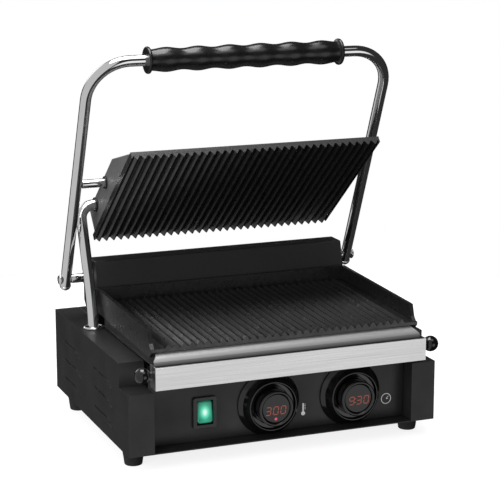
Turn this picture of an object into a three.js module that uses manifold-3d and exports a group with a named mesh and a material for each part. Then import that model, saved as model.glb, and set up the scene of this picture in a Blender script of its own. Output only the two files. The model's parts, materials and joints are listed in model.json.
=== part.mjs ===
// Contact grill (panini press), electric, with ribbed cast-iron plates, shown open.
// Millimetres. +X is the operator's right, +Y is towards the back, +Z is up.
// Sizes are worked out with y = 0 at the front of the posts and z = 0 on the bench. At the end
// the whole group is moved in y, so that the origin is the middle of the footprint on the bench.

import * as THREE from 'three';
import { mergeVertices } from 'three/addons/utils/BufferGeometryUtils.js';
import Module from 'manifold-3d';

const wasm = await Module();
wasm.setup();

// ---------------------------------------------------------------- driving sizes

// body
const bodyWidth = 410;
const bodyDepth = 317;
const footHeight = 22;
const podHeight = 108.5; // side housing, above the feet
const podWidth = 32.5;
const postHeight = 77.4; // the lower front end of each side housing, above the feet
const postDepth = 37.6;
const panelRecess = 23.8; // control panel behind the posts
const sheet = 1.5; // sheet-metal thickness
const trayBay = 22; // from the deck up to the top of the side housings
const fitGap = 0.3; // between pieces that touch
const railGap = 1.4; // between the deck and the drip tray
const runGap = 0.1; // between a shaft and its bushing
const boreLip = 1; // how far a cutting tool runs past a face

// feet
const footTopRadius = 14;
const footBottomRadius = 11;
const footInsetX = 18; // foot axis from the side of the body
const footInsetY = 40; // foot axis from the front and from the back

// lower plate
const plateLift = 29.4; // rib tips at the plate's front edge, above the side housings
const plateSlope = THREE.MathUtils.degToRad(1.5); // falls to the front, so that fat drains
const plateFront = -4;
const rearZone = 101; // from the plate's back edge to the back of the body
const plateInset = 28.2; // from the side of the body to the side of the lower plate
const rimHeight = 14.5; // above the rib tips
const rimWall = 5;
const rimFoot = 9; // the side rim's front end, behind the plate's front edge, at the rib tips
const rimLean = 14; // and at its top
const rearRimWall = 3.5;
const skirtDrop = 17; // side walls below the rib tips
const slabBottom = 9; // underside of the slab, below the rib tips
const ribHeight = 5;
const ribPitch = 10;
const ribMargin = 8; // plain strip between the last rib and the side
const rearChannel = 8;

// upper plate and its housing
const plateSideGap = 4.8; // between the upper plate and the lower plate's rim
const plateEndGap = 2.5;
const upperSlab = 11; // plate thickness with its ribs
const upperFront = 0.6; // the upper plate's front edge behind the lower plate's, when closed
const housingHeight = 48; // top of the housing above the rib tips
const housingFront = 3; // start of its sloping front, behind the plate's edge
const housingSlope = 77; // depth of the sloping front
const housingInset = 3; // side of the housing inside the plate's side
const openTilt = THREE.MathUtils.degToRad(39.3);
const closedGap = 0.5; // between the two plates' ribs when closed

// lifting frame
const armInset = 2; // arm axis inside the side of the body
const tubeRadius = 7;
const tubeWall = 1.5;
const bendRadius = 52;
const armLean = THREE.MathUtils.degToRad(23.3); // from upright, when open
const hingeBehindPlate = 52; // hinge axis behind the lower plate's back edge
const hingeRise = 52.3; // hinge axis above the side housings
const armTail = 9; // tube below the hinge axis
const rodBehindMiddle = 13; // the upper plate's pivot behind the middle of the lower plate, when closed
const rodAboveRibs = 38.4;
const handleOverhang = 55.2; // closed handle in front of the posts
const shaftRadius = 6;
const rodRadius = 5.5;
const gripEndGap = 20; // bare tube between the grip and each bend
const gripBulge = 15.5;
const gripNeck = 13.4;
const gripFlange = 17;
const gripWaves = 6;

// rear housing
const rearHousingInset = 30; // from the side of the body to the housing's end
const bushingWall = 3; // of a shaft bushing
const bushingFlange = 2; // its flange's width and thickness
const bushingReach = 4; // into the rear housing
const springWire = 1.6; // radius
const springGap = 1.4; // shaft to coil
const springClearance = 0.9; // coil to the housing's back
const rearHousingHeight = 82.5; // above the side housings
const rearHousingGap = 1; // behind the lower plate's back edge

// drip tray
const trayFrontInset = 26.2; // from the side of the body to the side of the tray's front
const trayFrontY = -24.4;
const trayFrontBox = 20.4; // depth of the tray's front box
const trayFrontHeight = 28.3;
const trayPanGap = 4.5; // from the pan to each side housing
const trayPanBeforeRear = 16; // its back, in front of the lower plate's back edge
const runnerInset = 18; // from the pan's side to the middle of a runner
const runnerWidth = 8;
const trayPanHeight = 14;
const ballRadius = 10;
const ballStem = 4;
const ballOffset = 12.5; // ball centre from the tray's side

// wiring conduit between the body and the upper housing
const conduitRadius = 7;
const conduitFlangeRadius = 13;
const conduitHoleRadius = 10.2;
const conduitFromRear = 32; // where it enters the housing, from the upper plate's back edge
const conduitBend = 18;
const conduitSpare = 25; // length below the flange when the grill is open

// control panel
const dialX = [-15, 96.5];
const dialTrim = 2.8; // cut off a dial's base where it stands on the bottom plate
const dialAbove = 2.7; // plain panel over a dial
const dialFlare = 9.7; // from a dial's rim out to its base
const rimToRing = 8.9;
const ringWall = 4.6;
const dialDepth = 17.3;
const ringDepth = 28.6;
const stemRadius = 8.5;
const stemGap = 1; // round a display's stem in the panel
const switchX = -100.2;
const switchHeight = 60.8;
const bezelWidth = 31;
const bezelHeight = 39.6;
const rockerWidth = 20;
const rockerHeight = 27.6;
const rockerTilt = THREE.MathUtils.degToRad(8);
const switchBody = { width: 24, height: 32, depth: 26 };
const cutoutGap = 0.4; // round the switch's body

// ---------------------------------------------------------------- sizes that follow

const half = bodyWidth / 2;
const podTop = footHeight + podHeight;
const postTop = footHeight + postHeight;
const deckTop = podTop - trayBay;
const bayHalf = half - podWidth; // inner faces of the side housings
const plateDepth = bodyDepth - rearZone - plateFront;
const plateHalf = half - plateInset;
const plateRear = plateFront + plateDepth;
const armToRod = hingeBehindPlate + plateDepth / 2 - rodBehindMiddle;
const upperHalf = plateHalf - rimWall - plateSideGap;
const upperDepth = plateDepth - rearRimWall - plateEndGap;
const rearHousingHalf = half - rearHousingInset;
const hingeY = plateRear + hingeBehindPlate;
const hingeZ = podTop + hingeRise;
const armX = half - armInset;
const gripLength = 2 * (armX - bendRadius - gripEndGap);
const coilRadius = shaftRadius + springGap + springWire;
const rearFront = plateRear + rearHousingGap;
const conduitX = bayHalf + fitGap + conduitFlangeRadius; // its flange fits on top of the side housing
const conduitY = rearFront - fitGap - conduitFlangeRadius; // and in front of the rear housing
const trayHalf = half - trayFrontInset;
const panHalf = bayHalf - trayPanGap;
const trayPanRear = plateRear - trayPanBeforeRear;
const panelBottom = footHeight + sheet + fitGap;
const panelTop = deckTop - sheet - fitGap;
const dialBaseRadius = (panelTop - panelBottom + dialTrim - dialAbove) / 2;
const dialHeight = panelBottom - dialTrim + dialBaseRadius;
const dialRimRadius = dialBaseRadius - dialFlare;
const ringRadius = dialRimRadius - rimToRing;
const displayRadius = ringRadius - ringWall;
const ribTipZ = podTop + plateLift;

// The closed position: the upper plate lies on the lower one's ribs, on the same slope.
const rodZClosed = (rodY) =>
  ribTipZ + (rodY - plateFront) * Math.sin(plateSlope) + closedGap + rodAboveRibs;
let closedAngle = 0; // of the arm above horizontal
for (let pass = 0; pass < 8; pass += 1) {
  const rodY = hingeY - armToRod * Math.cos(closedAngle);
  closedAngle = Math.asin((rodZClosed(rodY) - hingeZ) / armToRod);
}
const closingTurn = Math.PI / 2 - armLean - closedAngle; // of the lifting frame
const plateTurn = openTilt + plateSlope; // of the upper plate, counted from the body
const rodFromFront = hingeY - armToRod * Math.cos(closedAngle) - plateFront - upperFront;
const armLength = (hingeY + handleOverhang) / Math.cos(closedAngle);
const rodOpen = new THREE.Vector2(
  hingeY - armToRod * Math.sin(armLean),
  hingeZ + armToRod * Math.cos(armLean),
);

// ---------------------------------------------------------------- materials

const finish = (color, roughness, metalness) => ({ color, roughness, metalness });
const powderCoat = finish(0x2b2b2c, 0.45, 0.3);
const castIron = finish(0x262626, 0.6, 0.5);
const chrome = finish(0xd8d8d8, 0.08, 1);
const brushedSteel = finish(0xb9b9b9, 0.3, 1);
const plainSteel = finish(0x9a9a9a, 0.4, 1);
const glossBlack = finish(0x0b0b0b, 0.15, 0);
const mattBlack = finish(0x141414, 0.6, 0);
const rubber = finish(0x0e0e0e, 0.85, 0);
const greenLens = finish(0x2fae78, 0.25, 0);
const darkLens = finish(0x1a1a1a, 0.2, 0);
const brass = finish(0xb08d4a, 0.4, 1);
const board = finish(0x1f5b35, 0.6, 0);
const ceramic = finish(0xd9d4c8, 0.7, 0);

// ---------------------------------------------------------------- geometry helpers

// Faces turned outwards and shared corners merged, ready for a solid.
function closedGeometry(geometry) {
  const plain = geometry.index ? geometry.toNonIndexed() : geometry.clone();
  plain.deleteAttribute('normal');
  plain.deleteAttribute('uv');
  const merged = mergeVertices(plain, 1e-4);
  const p = merged.attributes.position;
  const index = merged.index.array;
  const corners = [new THREE.Vector3(), new THREE.Vector3(), new THREE.Vector3()];
  let volume = 0;
  for (let i = 0; i < index.length; i += 3) {
    corners.forEach((corner, k) => corner.fromBufferAttribute(p, index[i + k]));
    volume += corners[0].dot(corners[1].clone().cross(corners[2]));
  }
  if (volume < 0) {
    for (let i = 0; i < index.length; i += 3) {
      [index[i + 1], index[i + 2]] = [index[i + 2], index[i + 1]];
    }
  }
  return merged;
}

function solid(geometry) {
  const g = closedGeometry(geometry);
  return new wasm.Manifold(new wasm.Mesh({
    numProp: 3,
    vertProperties: g.attributes.position.array,
    triVerts: new Uint32Array(g.index.array),
  }));
}

function geometryOf(manifold) {
  const mesh = manifold.getMesh();
  const g = new THREE.BufferGeometry();
  g.setAttribute('position', new THREE.BufferAttribute(new Float32Array(mesh.vertProperties), 3));
  g.setIndex(new THREE.BufferAttribute(new Uint32Array(mesh.triVerts), 1));
  g.computeVertexNormals();
  return g;
}

const join = (...solids) => solids.reduce((a, b) => a.add(b));
const cut = (from, ...tools) => tools.reduce((a, b) => a.subtract(b), from);

function box(x0, x1, y0, y1, z0, z1) {
  const g = new THREE.BoxGeometry(x1 - x0, y1 - y0, z1 - z0);
  return solid(g.translate((x0 + x1) / 2, (y0 + y1) / 2, (z0 + z1) / 2));
}

function extruded(points, length) {
  const shape = new THREE.Shape(points.map(([a, b]) => new THREE.Vector2(a, b)));
  return new THREE.ExtrudeGeometry(shape, { depth: length, bevelEnabled: false });
}

const alongX = new THREE.Matrix4().makeBasis(
  new THREE.Vector3(0, 1, 0), new THREE.Vector3(0, 0, 1), new THREE.Vector3(1, 0, 0));
const alongMinusY = new THREE.Matrix4().makeBasis(
  new THREE.Vector3(1, 0, 0), new THREE.Vector3(0, 0, 1), new THREE.Vector3(0, -1, 0));

// An outline in (y, z), from x0 to x1.
const prismX = (points, x0, x1) =>
  solid(extruded(points, x1 - x0).applyMatrix4(alongX).translate(x0, 0, 0));
// An outline in (x, z), from y0 to y1.
const prismY = (points, y0, y1) =>
  solid(extruded(points, y1 - y0).applyMatrix4(alongMinusY).translate(0, y1, 0));

// A closed profile of (radius, height) turned about Z.
function turned(profile, segments) {
  const points = profile.map(([r, h]) => new THREE.Vector2(r, h));
  return solid(new THREE.LatheGeometry(points, segments).rotateX(Math.PI / 2));
}
const turnToX = (manifold) => manifold.rotate([0, 90, 0]);
const turnToFront = (manifold) => manifold.rotate([90, 0, 0]); // height runs to the front
const ringProfile = (inner, outer, low, high) =>
  [[inner, low], [outer, low], [outer, high], [inner, high], [inner, low]];
const rodProfile = (radius, low, high) => [[0, low], [radius, low], [radius, high], [0, high]];
// A bore of flat sides that still clears a shaft that turns in it.
const boreRadius = (shaft, segments) => (shaft + runGap) / Math.cos(Math.PI / segments);
const bushingSides = 14;
const rodX = (radius, x0, x1, y, z, segments) =>
  turnToX(turned(rodProfile(radius, x0, x1), segments)).translate([0, y, z]);
const rodY = (radius, y0, y1, x, z, segments) =>
  turnToFront(turned(rodProfile(radius, -y1, -y0), segments)).translate([x, 0, z]);
const rodZ = (radius, z0, z1, x, y, segments) =>
  turned(rodProfile(radius, z0, z1), segments).translate([x, y, 0]);

// The same outline, moved inwards by a distance (outline counter-clockwise).
function inset(points, distance) {
  const n = points.length;
  return points.map((point, i) => {
    const here = new THREE.Vector2(...point);
    const before = new THREE.Vector2(...points[(i + n - 1) % n]);
    const after = new THREE.Vector2(...points[(i + 1) % n]);
    const a = here.clone().sub(before).normalize();
    const b = after.sub(here).normalize();
    const normalA = new THREE.Vector2(-a.y, a.x);
    const normalB = new THREE.Vector2(-b.y, b.x);
    const mitre = normalA.clone().add(normalB).normalize();
    const reach = distance / Math.max(0.2, mitre.dot(normalA));
    return [here.x + mitre.x * reach, here.y + mitre.y * reach];
  });
}

function roundedRect(width, height, radius, steps) {
  const corners = [[1, 1, 0], [-1, 1, 1], [-1, -1, 2], [1, -1, 3]];
  return corners.flatMap(([sx, sz, quarter]) =>
    Array.from({ length: steps + 1 }, (_, k) => {
      const angle = (quarter + k / steps) * Math.PI / 2;
      return [
        sx * (width / 2 - radius) + radius * Math.cos(angle),
        sz * (height / 2 - radius) + radius * Math.sin(angle),
      ];
    }));
}

const circle = (radius, sides) => Array.from({ length: sides }, (_, k) => {
  const angle = (k / sides) * 2 * Math.PI;
  return [radius * Math.cos(angle), radius * Math.sin(angle)];
});

// A path whose sections are placed piece by piece, so that a straight run takes few of them.
class StationPath extends THREE.Curve {
  constructor(pieces) {
    super();
    this.stations = [];
    for (const [curve, steps] of pieces) {
      for (let k = this.stations.length ? 1 : 0; k <= steps; k += 1) {
        const at = { point: curve.getPoint(k / steps), tangent: curve.getTangent(k / steps) };
        this.stations.push(at);
      }
    }
    this.steps = this.stations.length - 1;
  }

  station(u) {
    return this.stations[Math.round(u * this.steps)];
  }

  getPointAt(u, target = new THREE.Vector3()) {
    return target.copy(this.station(u).point);
  }

  getTangentAt(u, target = new THREE.Vector3()) {
    return target.copy(this.station(u).tangent);
  }
}

function sweep(path, outline) {
  const shape = new THREE.Shape(outline.map(([a, b]) => new THREE.Vector2(a, b)));
  return solid(new THREE.ExtrudeGeometry(shape, { steps: path.steps, extrudePath: path }));
}

// A quarter turn (or less) from one direction to another.
class Bend extends THREE.Curve {
  constructor(start, from, to, radius) {
    super();
    Object.assign(this, { start, from, to, radius });
    this.angle = from.angleTo(to);
    this.side = to.clone().addScaledVector(from, -to.dot(from)).normalize();
  }

  getPoint(t, target = new THREE.Vector3()) {
    const a = t * this.angle;
    return target.copy(this.start)
      .addScaledVector(this.from, this.radius * Math.sin(a))
      .addScaledVector(this.side, this.radius * (1 - Math.cos(a)));
  }

  getTangent(t, target = new THREE.Vector3()) {
    const a = t * this.angle;
    return target.copy(this.from).multiplyScalar(Math.cos(a)).addScaledVector(this.side, Math.sin(a));
  }
}

const line = (a, b) => new THREE.LineCurve3(a, b);

// ---------------------------------------------------------------- assembly helpers

const press = new THREE.Group();

function place(parent, name, manifold, look) {
  const mesh = new THREE.Mesh(geometryOf(manifold), new THREE.MeshStandardMaterial(look));
  mesh.name = name;
  parent.add(mesh);
  return mesh;
}

const sides = [['left', -1], ['right', 1]];
// The same solid on the other side of the middle.
const mirrored = (manifold, side) => (side < 0 ? manifold.mirror([1, 0, 0]) : manifold);

// ---------------------------------------------------------------- side housings

const wiring = { front: 60, back: 120, bottom: 40, belowDeck: 18.5 }; // opening in the inner wall
const louvre = { length: 78, height: 9, rise: 1.8, drop: 25, corner: 24, slot: 1.6, count: 3 };
const louvreColumns = [ // rear end and top of the first louvre
  [40, 34.5],
  [174, 34.5],
].map(([fromBack, below]) => [bodyDepth - fromBack, podTop - below]);

// One louvre in (y, z): a straight top edge that curves down at its front end.
function louvreOutline(rearY, topZ) {
  const frontY = rearY - louvre.length;
  const arc = Array.from({ length: 5 }, (_, k) => {
    const angle = Math.PI / 2 + (k / 4) * Math.PI / 2;
    return [
      frontY + louvre.corner + louvre.corner * Math.cos(angle),
      topZ - louvre.height + louvre.height * Math.sin(angle),
    ];
  });
  return [[rearY, topZ - louvre.height], [rearY, topZ], ...arc];
}

function louvres(makeOne) {
  return louvreColumns.flatMap(([rearY, topZ]) =>
    Array.from({ length: louvre.count }, (_, k) => makeOne(rearY, topZ - k * louvre.drop)));
}

function raisedLouvre(rearY, topZ) {
  const pad = prismX(louvreOutline(rearY, topZ), half - sheet / 2, half + louvre.rise);
  const low = topZ - louvre.height;
  const slope = [ // in (x, z): flush at the bottom, raised at the top
    [half + 0.05, low - 1], [half + louvre.rise + 1, low - 1],
    [half + louvre.rise + 1, topZ + 1], [half + louvre.rise, topZ + 1],
  ];
  return cut(pad, prismY(slope, rearY - louvre.length - 1, rearY + 1));
}

const louvreSlot = (rearY, topZ) => box(
  half - sheet - 1, half + 1, rearY - louvre.length + louvre.corner, rearY - 2,
  topZ + 0.2, topZ + 0.2 + louvre.slot);

function sideHousing(side) {
  const outline = [
    [0, footHeight], [bodyDepth, footHeight], [bodyDepth, podTop], [postDepth, podTop],
    [postDepth, postTop], [0, postTop],
  ];
  const hollow = inset(outline, sheet).map(([y, z]) => [y, z < footHeight + 5 ? 0 : z]);
  let shell = cut(
    prismX(outline, bayHalf, half),
    prismX(hollow, bayHalf + sheet, half - sheet),
    // the inner wall stands on the bottom cover, and is open low down for the wiring
    box(bayHalf - boreLip, bayHalf + sheet + boreLip, sheet, bodyDepth - sheet, 0,
      footHeight + sheet + fitGap),
    box(bayHalf - boreLip, bayHalf + sheet + boreLip, wiring.front, wiring.back,
      wiring.bottom, deckTop - wiring.belowDeck),
    ...louvres(louvreSlot),
  );
  shell = join(shell, ...louvres(raisedLouvre));
  shell = mirrored(shell, side);
  if (side < 0) {
    shell = cut(shell, rodZ(conduitHoleRadius, podTop - sheet - boreLip, podTop + boreLip,
      -conduitX, conduitY, 24));
  }
  return shell;
}

for (const [name, side] of sides) {
  place(press, `side_housing_${name}`, sideHousing(side), powderCoat);
}

// ---------------------------------------------------------------- bottom, deck, panel, back

const innerHalf = bayHalf - fitGap;
const backPlane = bodyDepth - sheet;

function bottomCover() {
  const middle = box(-innerHalf, innerHalf, 0, backPlane - fitGap, footHeight, footHeight + sheet);
  const wings = box(-half + sheet + fitGap, half - sheet - fitGap, sheet + fitGap,
    backPlane - fitGap, footHeight, footHeight + sheet);
  const vent = { count: 7, half: 60, first: 110, pitch: 16, width: 6 };
  const vents = Array.from({ length: vent.count }, (_, k) => {
    const front = vent.first + k * vent.pitch;
    return box(-vent.half, vent.half, front, front + vent.width,
      footHeight - boreLip, footHeight + sheet + boreLip);
  });
  return cut(join(middle, wings), ...vents);
}
place(press, 'bottom_cover', bottomCover(), powderCoat);

function deck() {
  const plate = box(-innerHalf, innerHalf, panelRecess, backPlane - fitGap,
    deckTop - sheet, deckTop);
  const runner = box(panHalf - runnerInset - runnerWidth / 2,
    panHalf - runnerInset + runnerWidth / 2, panelRecess + sheet, trayPanRear,
    deckTop - sheet / 2, deckTop + railGap - fitGap);
  return join(plate, ...sides.map(([, side]) => mirrored(runner, side)));
}
place(press, 'deck', deck(), powderCoat);

function controlPanel() {
  const plate = box(-innerHalf, innerHalf, panelRecess, panelRecess + sheet,
    panelBottom, panelTop);
  const dialHoles = dialX.map((x) => rodY(stemRadius + stemGap, panelRecess - boreLip,
    panelRecess + sheet + boreLip, x, dialHeight, 24));
  const wide = switchBody.width / 2 + cutoutGap;
  const high = switchBody.height / 2 + cutoutGap;
  const cutout = box(switchX - wide, switchX + wide, panelRecess - boreLip,
    panelRecess + sheet + boreLip, switchHeight - high, switchHeight + high);
  return cut(plate, cutout, ...dialHoles);
}
place(press, 'control_panel', controlPanel(), powderCoat);

const glandX = 120;
const glandZ = 60;
const glandRadius = 8;
const backFlangeGap = 24; // from the lower plate to the back cover's top flange

function backCover() {
  const flangeFront = plateRear + backFlangeGap;
  const profile = [
    [backPlane, panelBottom], [bodyDepth, panelBottom],
    [bodyDepth, podTop], [flangeFront, podTop], [flangeFront, podTop - sheet],
    [backPlane, podTop - sheet],
  ];
  const slot = { count: 5, left: -110, right: 40, lowest: 44, pitch: 11, height: 4 };
  const slots = Array.from({ length: slot.count }, (_, k) => {
    const low = slot.lowest + k * slot.pitch;
    return box(slot.left, slot.right, backPlane - boreLip, bodyDepth + boreLip,
      low, low + slot.height);
  });
  const glandHole = rodY(glandRadius + fitGap, backPlane - boreLip, bodyDepth + boreLip,
    glandX, glandZ, 14);
  return cut(prismX(profile, -innerHalf, innerHalf), glandHole, ...slots);
}
place(press, 'back_cover', backCover(), powderCoat);

function cableGland() {
  const profile = [
    [4, -6], [glandRadius, -6], [glandRadius, sheet + fitGap], [12, sheet + fitGap],
    [12, 7], [9, 12], [4, 12], [4, -6],
  ];
  return turned(profile, 14).rotate([-90, 0, 0]).translate([glandX, backPlane, glandZ]);
}
place(press, 'cable_gland', cableGland(), mattBlack);

// It stands on the bottom cover in front of the gland, with one screw hole for each wire.
function terminalBlock() {
  const size = { x: 60, y: 22, z: 18.2, beforeBack: 45, aside: 20, pitch: 20, hole: 3, deep: 10 };
  const x = glandX - size.aside;
  const y = bodyDepth - size.beforeBack - size.y / 2;
  const top = panelBottom + size.z;
  const block = box(x - size.x / 2, x + size.x / 2, y - size.y / 2, y + size.y / 2,
    panelBottom, top);
  const holes = [-1, 0, 1].map((k) =>
    rodZ(size.hole, top - size.deep, top + boreLip, x + k * size.pitch, y, 10));
  return cut(block, ...holes);
}
place(press, 'terminal_block', terminalBlock(), ceramic);

// ---------------------------------------------------------------- feet

const footProfile = [
  [0, 0], [footBottomRadius - 1, 0], [footBottomRadius, 1.5],
  [footTopRadius, footHeight - 4], [footTopRadius, footHeight - fitGap],
  [0, footHeight - fitGap],
];
for (const [sideName, side] of sides) {
  for (const [endName, y] of [['front', footInsetY], ['rear', bodyDepth - footInsetY]]) {
    const foot = turned(footProfile, 16).translate([side * (half - footInsetX), y, 0]);
    place(press, `foot_${endName}_${sideName}`, foot, rubber);
  }
}

// ---------------------------------------------------------------- rear housing and hinge

const rearBase = podTop + fitGap;

function rearHousing() {
  const back = hingeY + coilRadius + springWire + springClearance + sheet;
  const top = podTop + rearHousingHeight;
  const slope = { backBottom: 19, backTopY: 27, backTopZ: 21, frontY: 9, frontZ: 31 };
  const outline = [
    [rearFront, rearBase],
    [back - slope.backBottom, rearBase], [back, rearBase + slope.backBottom],
    [back, top - slope.backTopZ], [back - slope.backTopY, top],
    // the front leans back at the top, out of the way of the upper plate's back edge
    [rearFront + slope.frontY, top], [rearFront, top - slope.frontZ],
  ];
  const hollow = inset(outline, sheet).map(([y, z]) => [y, z < rearBase + 2 * sheet ? 0 : z]);
  const ends = rearHousingHalf - sheet;
  return cut(
    prismX(outline, -rearHousingHalf, rearHousingHalf),
    prismX(hollow, -ends, ends),
    rodX(shaftRadius + bushingWall + fitGap, -half, half, hingeY, hingeZ, bushingSides),
  );
}
place(press, 'rear_housing', rearHousing(), powderCoat);

function shaftBushing(side) {
  const r = boreRadius(shaftRadius, bushingSides);
  const outer = shaftRadius + bushingWall;
  const seat = sheet + fitGap;
  const end = seat + bushingFlange;
  const profile = [
    [r, -bushingReach], [outer, -bushingReach], [outer, seat],
    [outer + bushingFlange, seat], [outer + bushingFlange, end],
    [r, end], [r, -bushingReach],
  ];
  const ring = turnToX(turned(profile, bushingSides)).translate([rearHousingHalf - sheet, hingeY, hingeZ]);
  return mirrored(ring, side);
}

// The coils of a counterbalance spring round the shaft.
function torsionSpring(side) {
  const coil = { turns: 6, pitch: 4.4, steps: 8, fromEnd: 65 };
  const start = rearHousingHalf - coil.fromEnd;
  const path = new THREE.Curve();
  path.getPoint = (t, target = new THREE.Vector3()) => {
    const a = t * coil.turns * 2 * Math.PI;
    return target.set(start + t * coil.turns * coil.pitch,
      coilRadius * Math.cos(a), coilRadius * Math.sin(a));
  };
  const stations = new StationPath([[path, coil.turns * coil.steps]]);
  return mirrored(sweep(stations, circle(springWire, 5)).translate([0, hingeY, hingeZ]), side);
}

for (const [name, side] of sides) {
  place(press, `shaft_bushing_${name}`, shaftBushing(side), plainSteel);
  place(press, `torsion_spring_${name}`, torsionSpring(side), plainSteel);
}

// ---------------------------------------------------------------- lower plate and its pan

// In the plate's own frame: x across, y from its front edge, z above the rib tips.
const lowerPlateFrame = new THREE.Group();
lowerPlateFrame.position.set(0, plateFront, ribTipZ);
lowerPlateFrame.rotation.x = plateSlope;
press.add(lowerPlateFrame);

const slabZ = (y) => ribTipZ + (y - plateFront) * Math.tan(plateSlope)
  - slabBottom / Math.cos(plateSlope);

// Triangular ribs in (x, z), standing on a base line, with tips at tip.
function ribOutline(halfWidth, base, root, tip) {
  const count = Math.floor((2 * halfWidth) / ribPitch);
  const first = -count * ribPitch / 2;
  const teeth = Array.from({ length: count }, (_, k) => {
    const x = first + k * ribPitch;
    return [[x + 0.8, root], [x + ribPitch / 2 - 0.6, tip], [x + ribPitch / 2 + 0.6, tip],
      [x + ribPitch - 0.8, root]];
  }).flat();
  const outline = [[first, base], [first, root], ...teeth, [-first, root], [-first, base]];
  return outline;
}

function lowerPlate() {
  const inner = plateHalf - rimWall;
  const slab = box(-plateHalf, plateHalf, 0, plateDepth, -slabBottom, -ribHeight);
  const ribs = prismY(ribOutline(inner - ribMargin, -ribHeight - 1, -ribHeight, 0),
    0, plateDepth - rearRimWall - rearChannel);
  const rim = [ // side rim in (y, z), with a front end that slopes down to the lip
    [0, -slabBottom], [9, -skirtDrop], [plateDepth, -skirtDrop], [plateDepth, rimHeight],
    [rimLean, rimHeight], [rimFoot, 0],
  ];
  const rims = sides.map(([, side]) => prismX(rim,
    side < 0 ? -plateHalf : inner, side < 0 ? -inner : plateHalf));
  const rear = box(-plateHalf, plateHalf, plateDepth - rearRimWall, plateDepth,
    -skirtDrop, rimHeight);
  return join(slab, ribs, ...rims, rear);
}
place(lowerPlateFrame, 'lower_grill_plate', lowerPlate(), castIron);

const element = { radius: 3.5, runs: 4, fromSide: 55, fromEnd: 45 };
const reflector = { fromSide: 37, fromEnd: 20, gap: 1, thickness: 1 };

// A tubular heating element: runs across the plate joined by half turns.
function heatingElement(reach, depth) {
  const pitch = elementPitch(depth);
  const radius = pitch / 2;
  const pieces = [];
  for (let k = 0; k < element.runs; k += 1) {
    const dir = k % 2 ? -1 : 1;
    const y = element.fromEnd + k * pitch;
    const from = new THREE.Vector3(-dir * reach, y, 0);
    const to = new THREE.Vector3(dir * reach, y, 0);
    pieces.push([line(from, to), 1]);
    if (k < element.runs - 1) {
      const out = new THREE.Vector3(dir, 0, 0);
      pieces.push([new Bend(to, out, new THREE.Vector3(0, 1, 0), radius), 4]);
      const mid = new THREE.Vector3(dir * (reach + radius), y + radius, 0);
      pieces.push([new Bend(mid, new THREE.Vector3(0, 1, 0), out.clone().negate(), radius), 4]);
    }
  }
  return sweep(new StationPath(pieces), circle(element.radius, 6));
}

const elementDrop = slabBottom + fitGap + element.radius;
const elementReach = plateHalf - element.fromSide;
const elementPitch = (depth) => (depth - 2 * element.fromEnd) / (element.runs - 1);
const lowerElement = heatingElement(elementReach, plateDepth);
place(lowerPlateFrame, 'lower_heating_element', lowerElement.translate([0, 0, -elementDrop]),
  plainSteel);
const reflectorTop = -elementDrop - element.radius - reflector.gap;
const lowerReflector = box(-plateHalf + reflector.fromSide, plateHalf - reflector.fromSide,
  reflector.fromEnd, plateDepth - reflector.fromEnd,
  reflectorTop - reflector.thickness, reflectorTop);
place(lowerPlateFrame, 'lower_reflector', lowerReflector, plainSteel);
const probeSize = { radius: 2.5, length: 60, behindMiddle: 4 };
const probe = rodX(probeSize.radius, -elementReach, -elementReach + probeSize.length,
  plateDepth / 2 + probeSize.behindMiddle, -slabBottom - probeSize.radius - fitGap, 12);
place(lowerPlateFrame, 'thermostat_probe', probe, brass);

function lowerPan() {
  const low = podTop + fitGap;
  const wallHalf = plateHalf - rimWall - 2;
  const wallTop = slabZ(8) - 2;
  const floorHalf = bayHalf - fitGap;
  const floor = box(-floorHalf, floorHalf, 8, plateRear - 5, low, low + sheet);
  const outer = box(-wallHalf, wallHalf, 8, plateRear - 9, low, wallTop);
  const inner = box(-wallHalf + sheet, wallHalf - sheet, 8 + sheet, plateRear - 9 - sheet,
    low + sheet, wallTop + 1);
  const pillars = [-1, 1].flatMap((side) => [30, plateRear - 36].map((y) => rodZ(
    5, low + 1, slabZ(y) - fitGap - 0.2, side * (wallHalf - 12), y, 10)));
  return join(cut(outer, inner), floor, ...pillars);
}
place(press, 'lower_pan', lowerPan(), powderCoat);

const apronGap = 1; // from the apron to each side of the tray's front box
const apronChamfer = 9;

// A curved steel apron that carries fat from the plate's front edge down into the tray.
function dripApron() {
  const topY = 7.4;
  const topZ = slabZ(0) - 1.2;
  const run = 22;
  const fall = 17;
  const arc = (offset) => Array.from({ length: 7 }, (_, k) => {
    const a = (k / 6) * Math.PI / 2;
    return [topY - run * Math.sin(a) + offset * 0.2, topZ - fall * (1 - Math.cos(a)) - offset];
  });
  const outline = [...arc(0), ...arc(sheet).reverse()];
  const wide = trayHalf - sheet - apronGap;
  const apron = prismX(outline, -wide, wide);
  const corner = prismY([
    [wide - apronChamfer, topZ + boreLip],
    [wide + boreLip, topZ - apronChamfer],
    [wide + boreLip, topZ + boreLip],
  ], topY - run - boreLip, topY + boreLip);
  return cut(apron, ...sides.map(([, side]) => mirrored(corner, side)));
}
place(press, 'drip_apron', dripApron(), brushedSteel);

// ---------------------------------------------------------------- drip tray

const tray = new THREE.Group();
press.add(tray);
const trayBase = deckTop + railGap;

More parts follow.
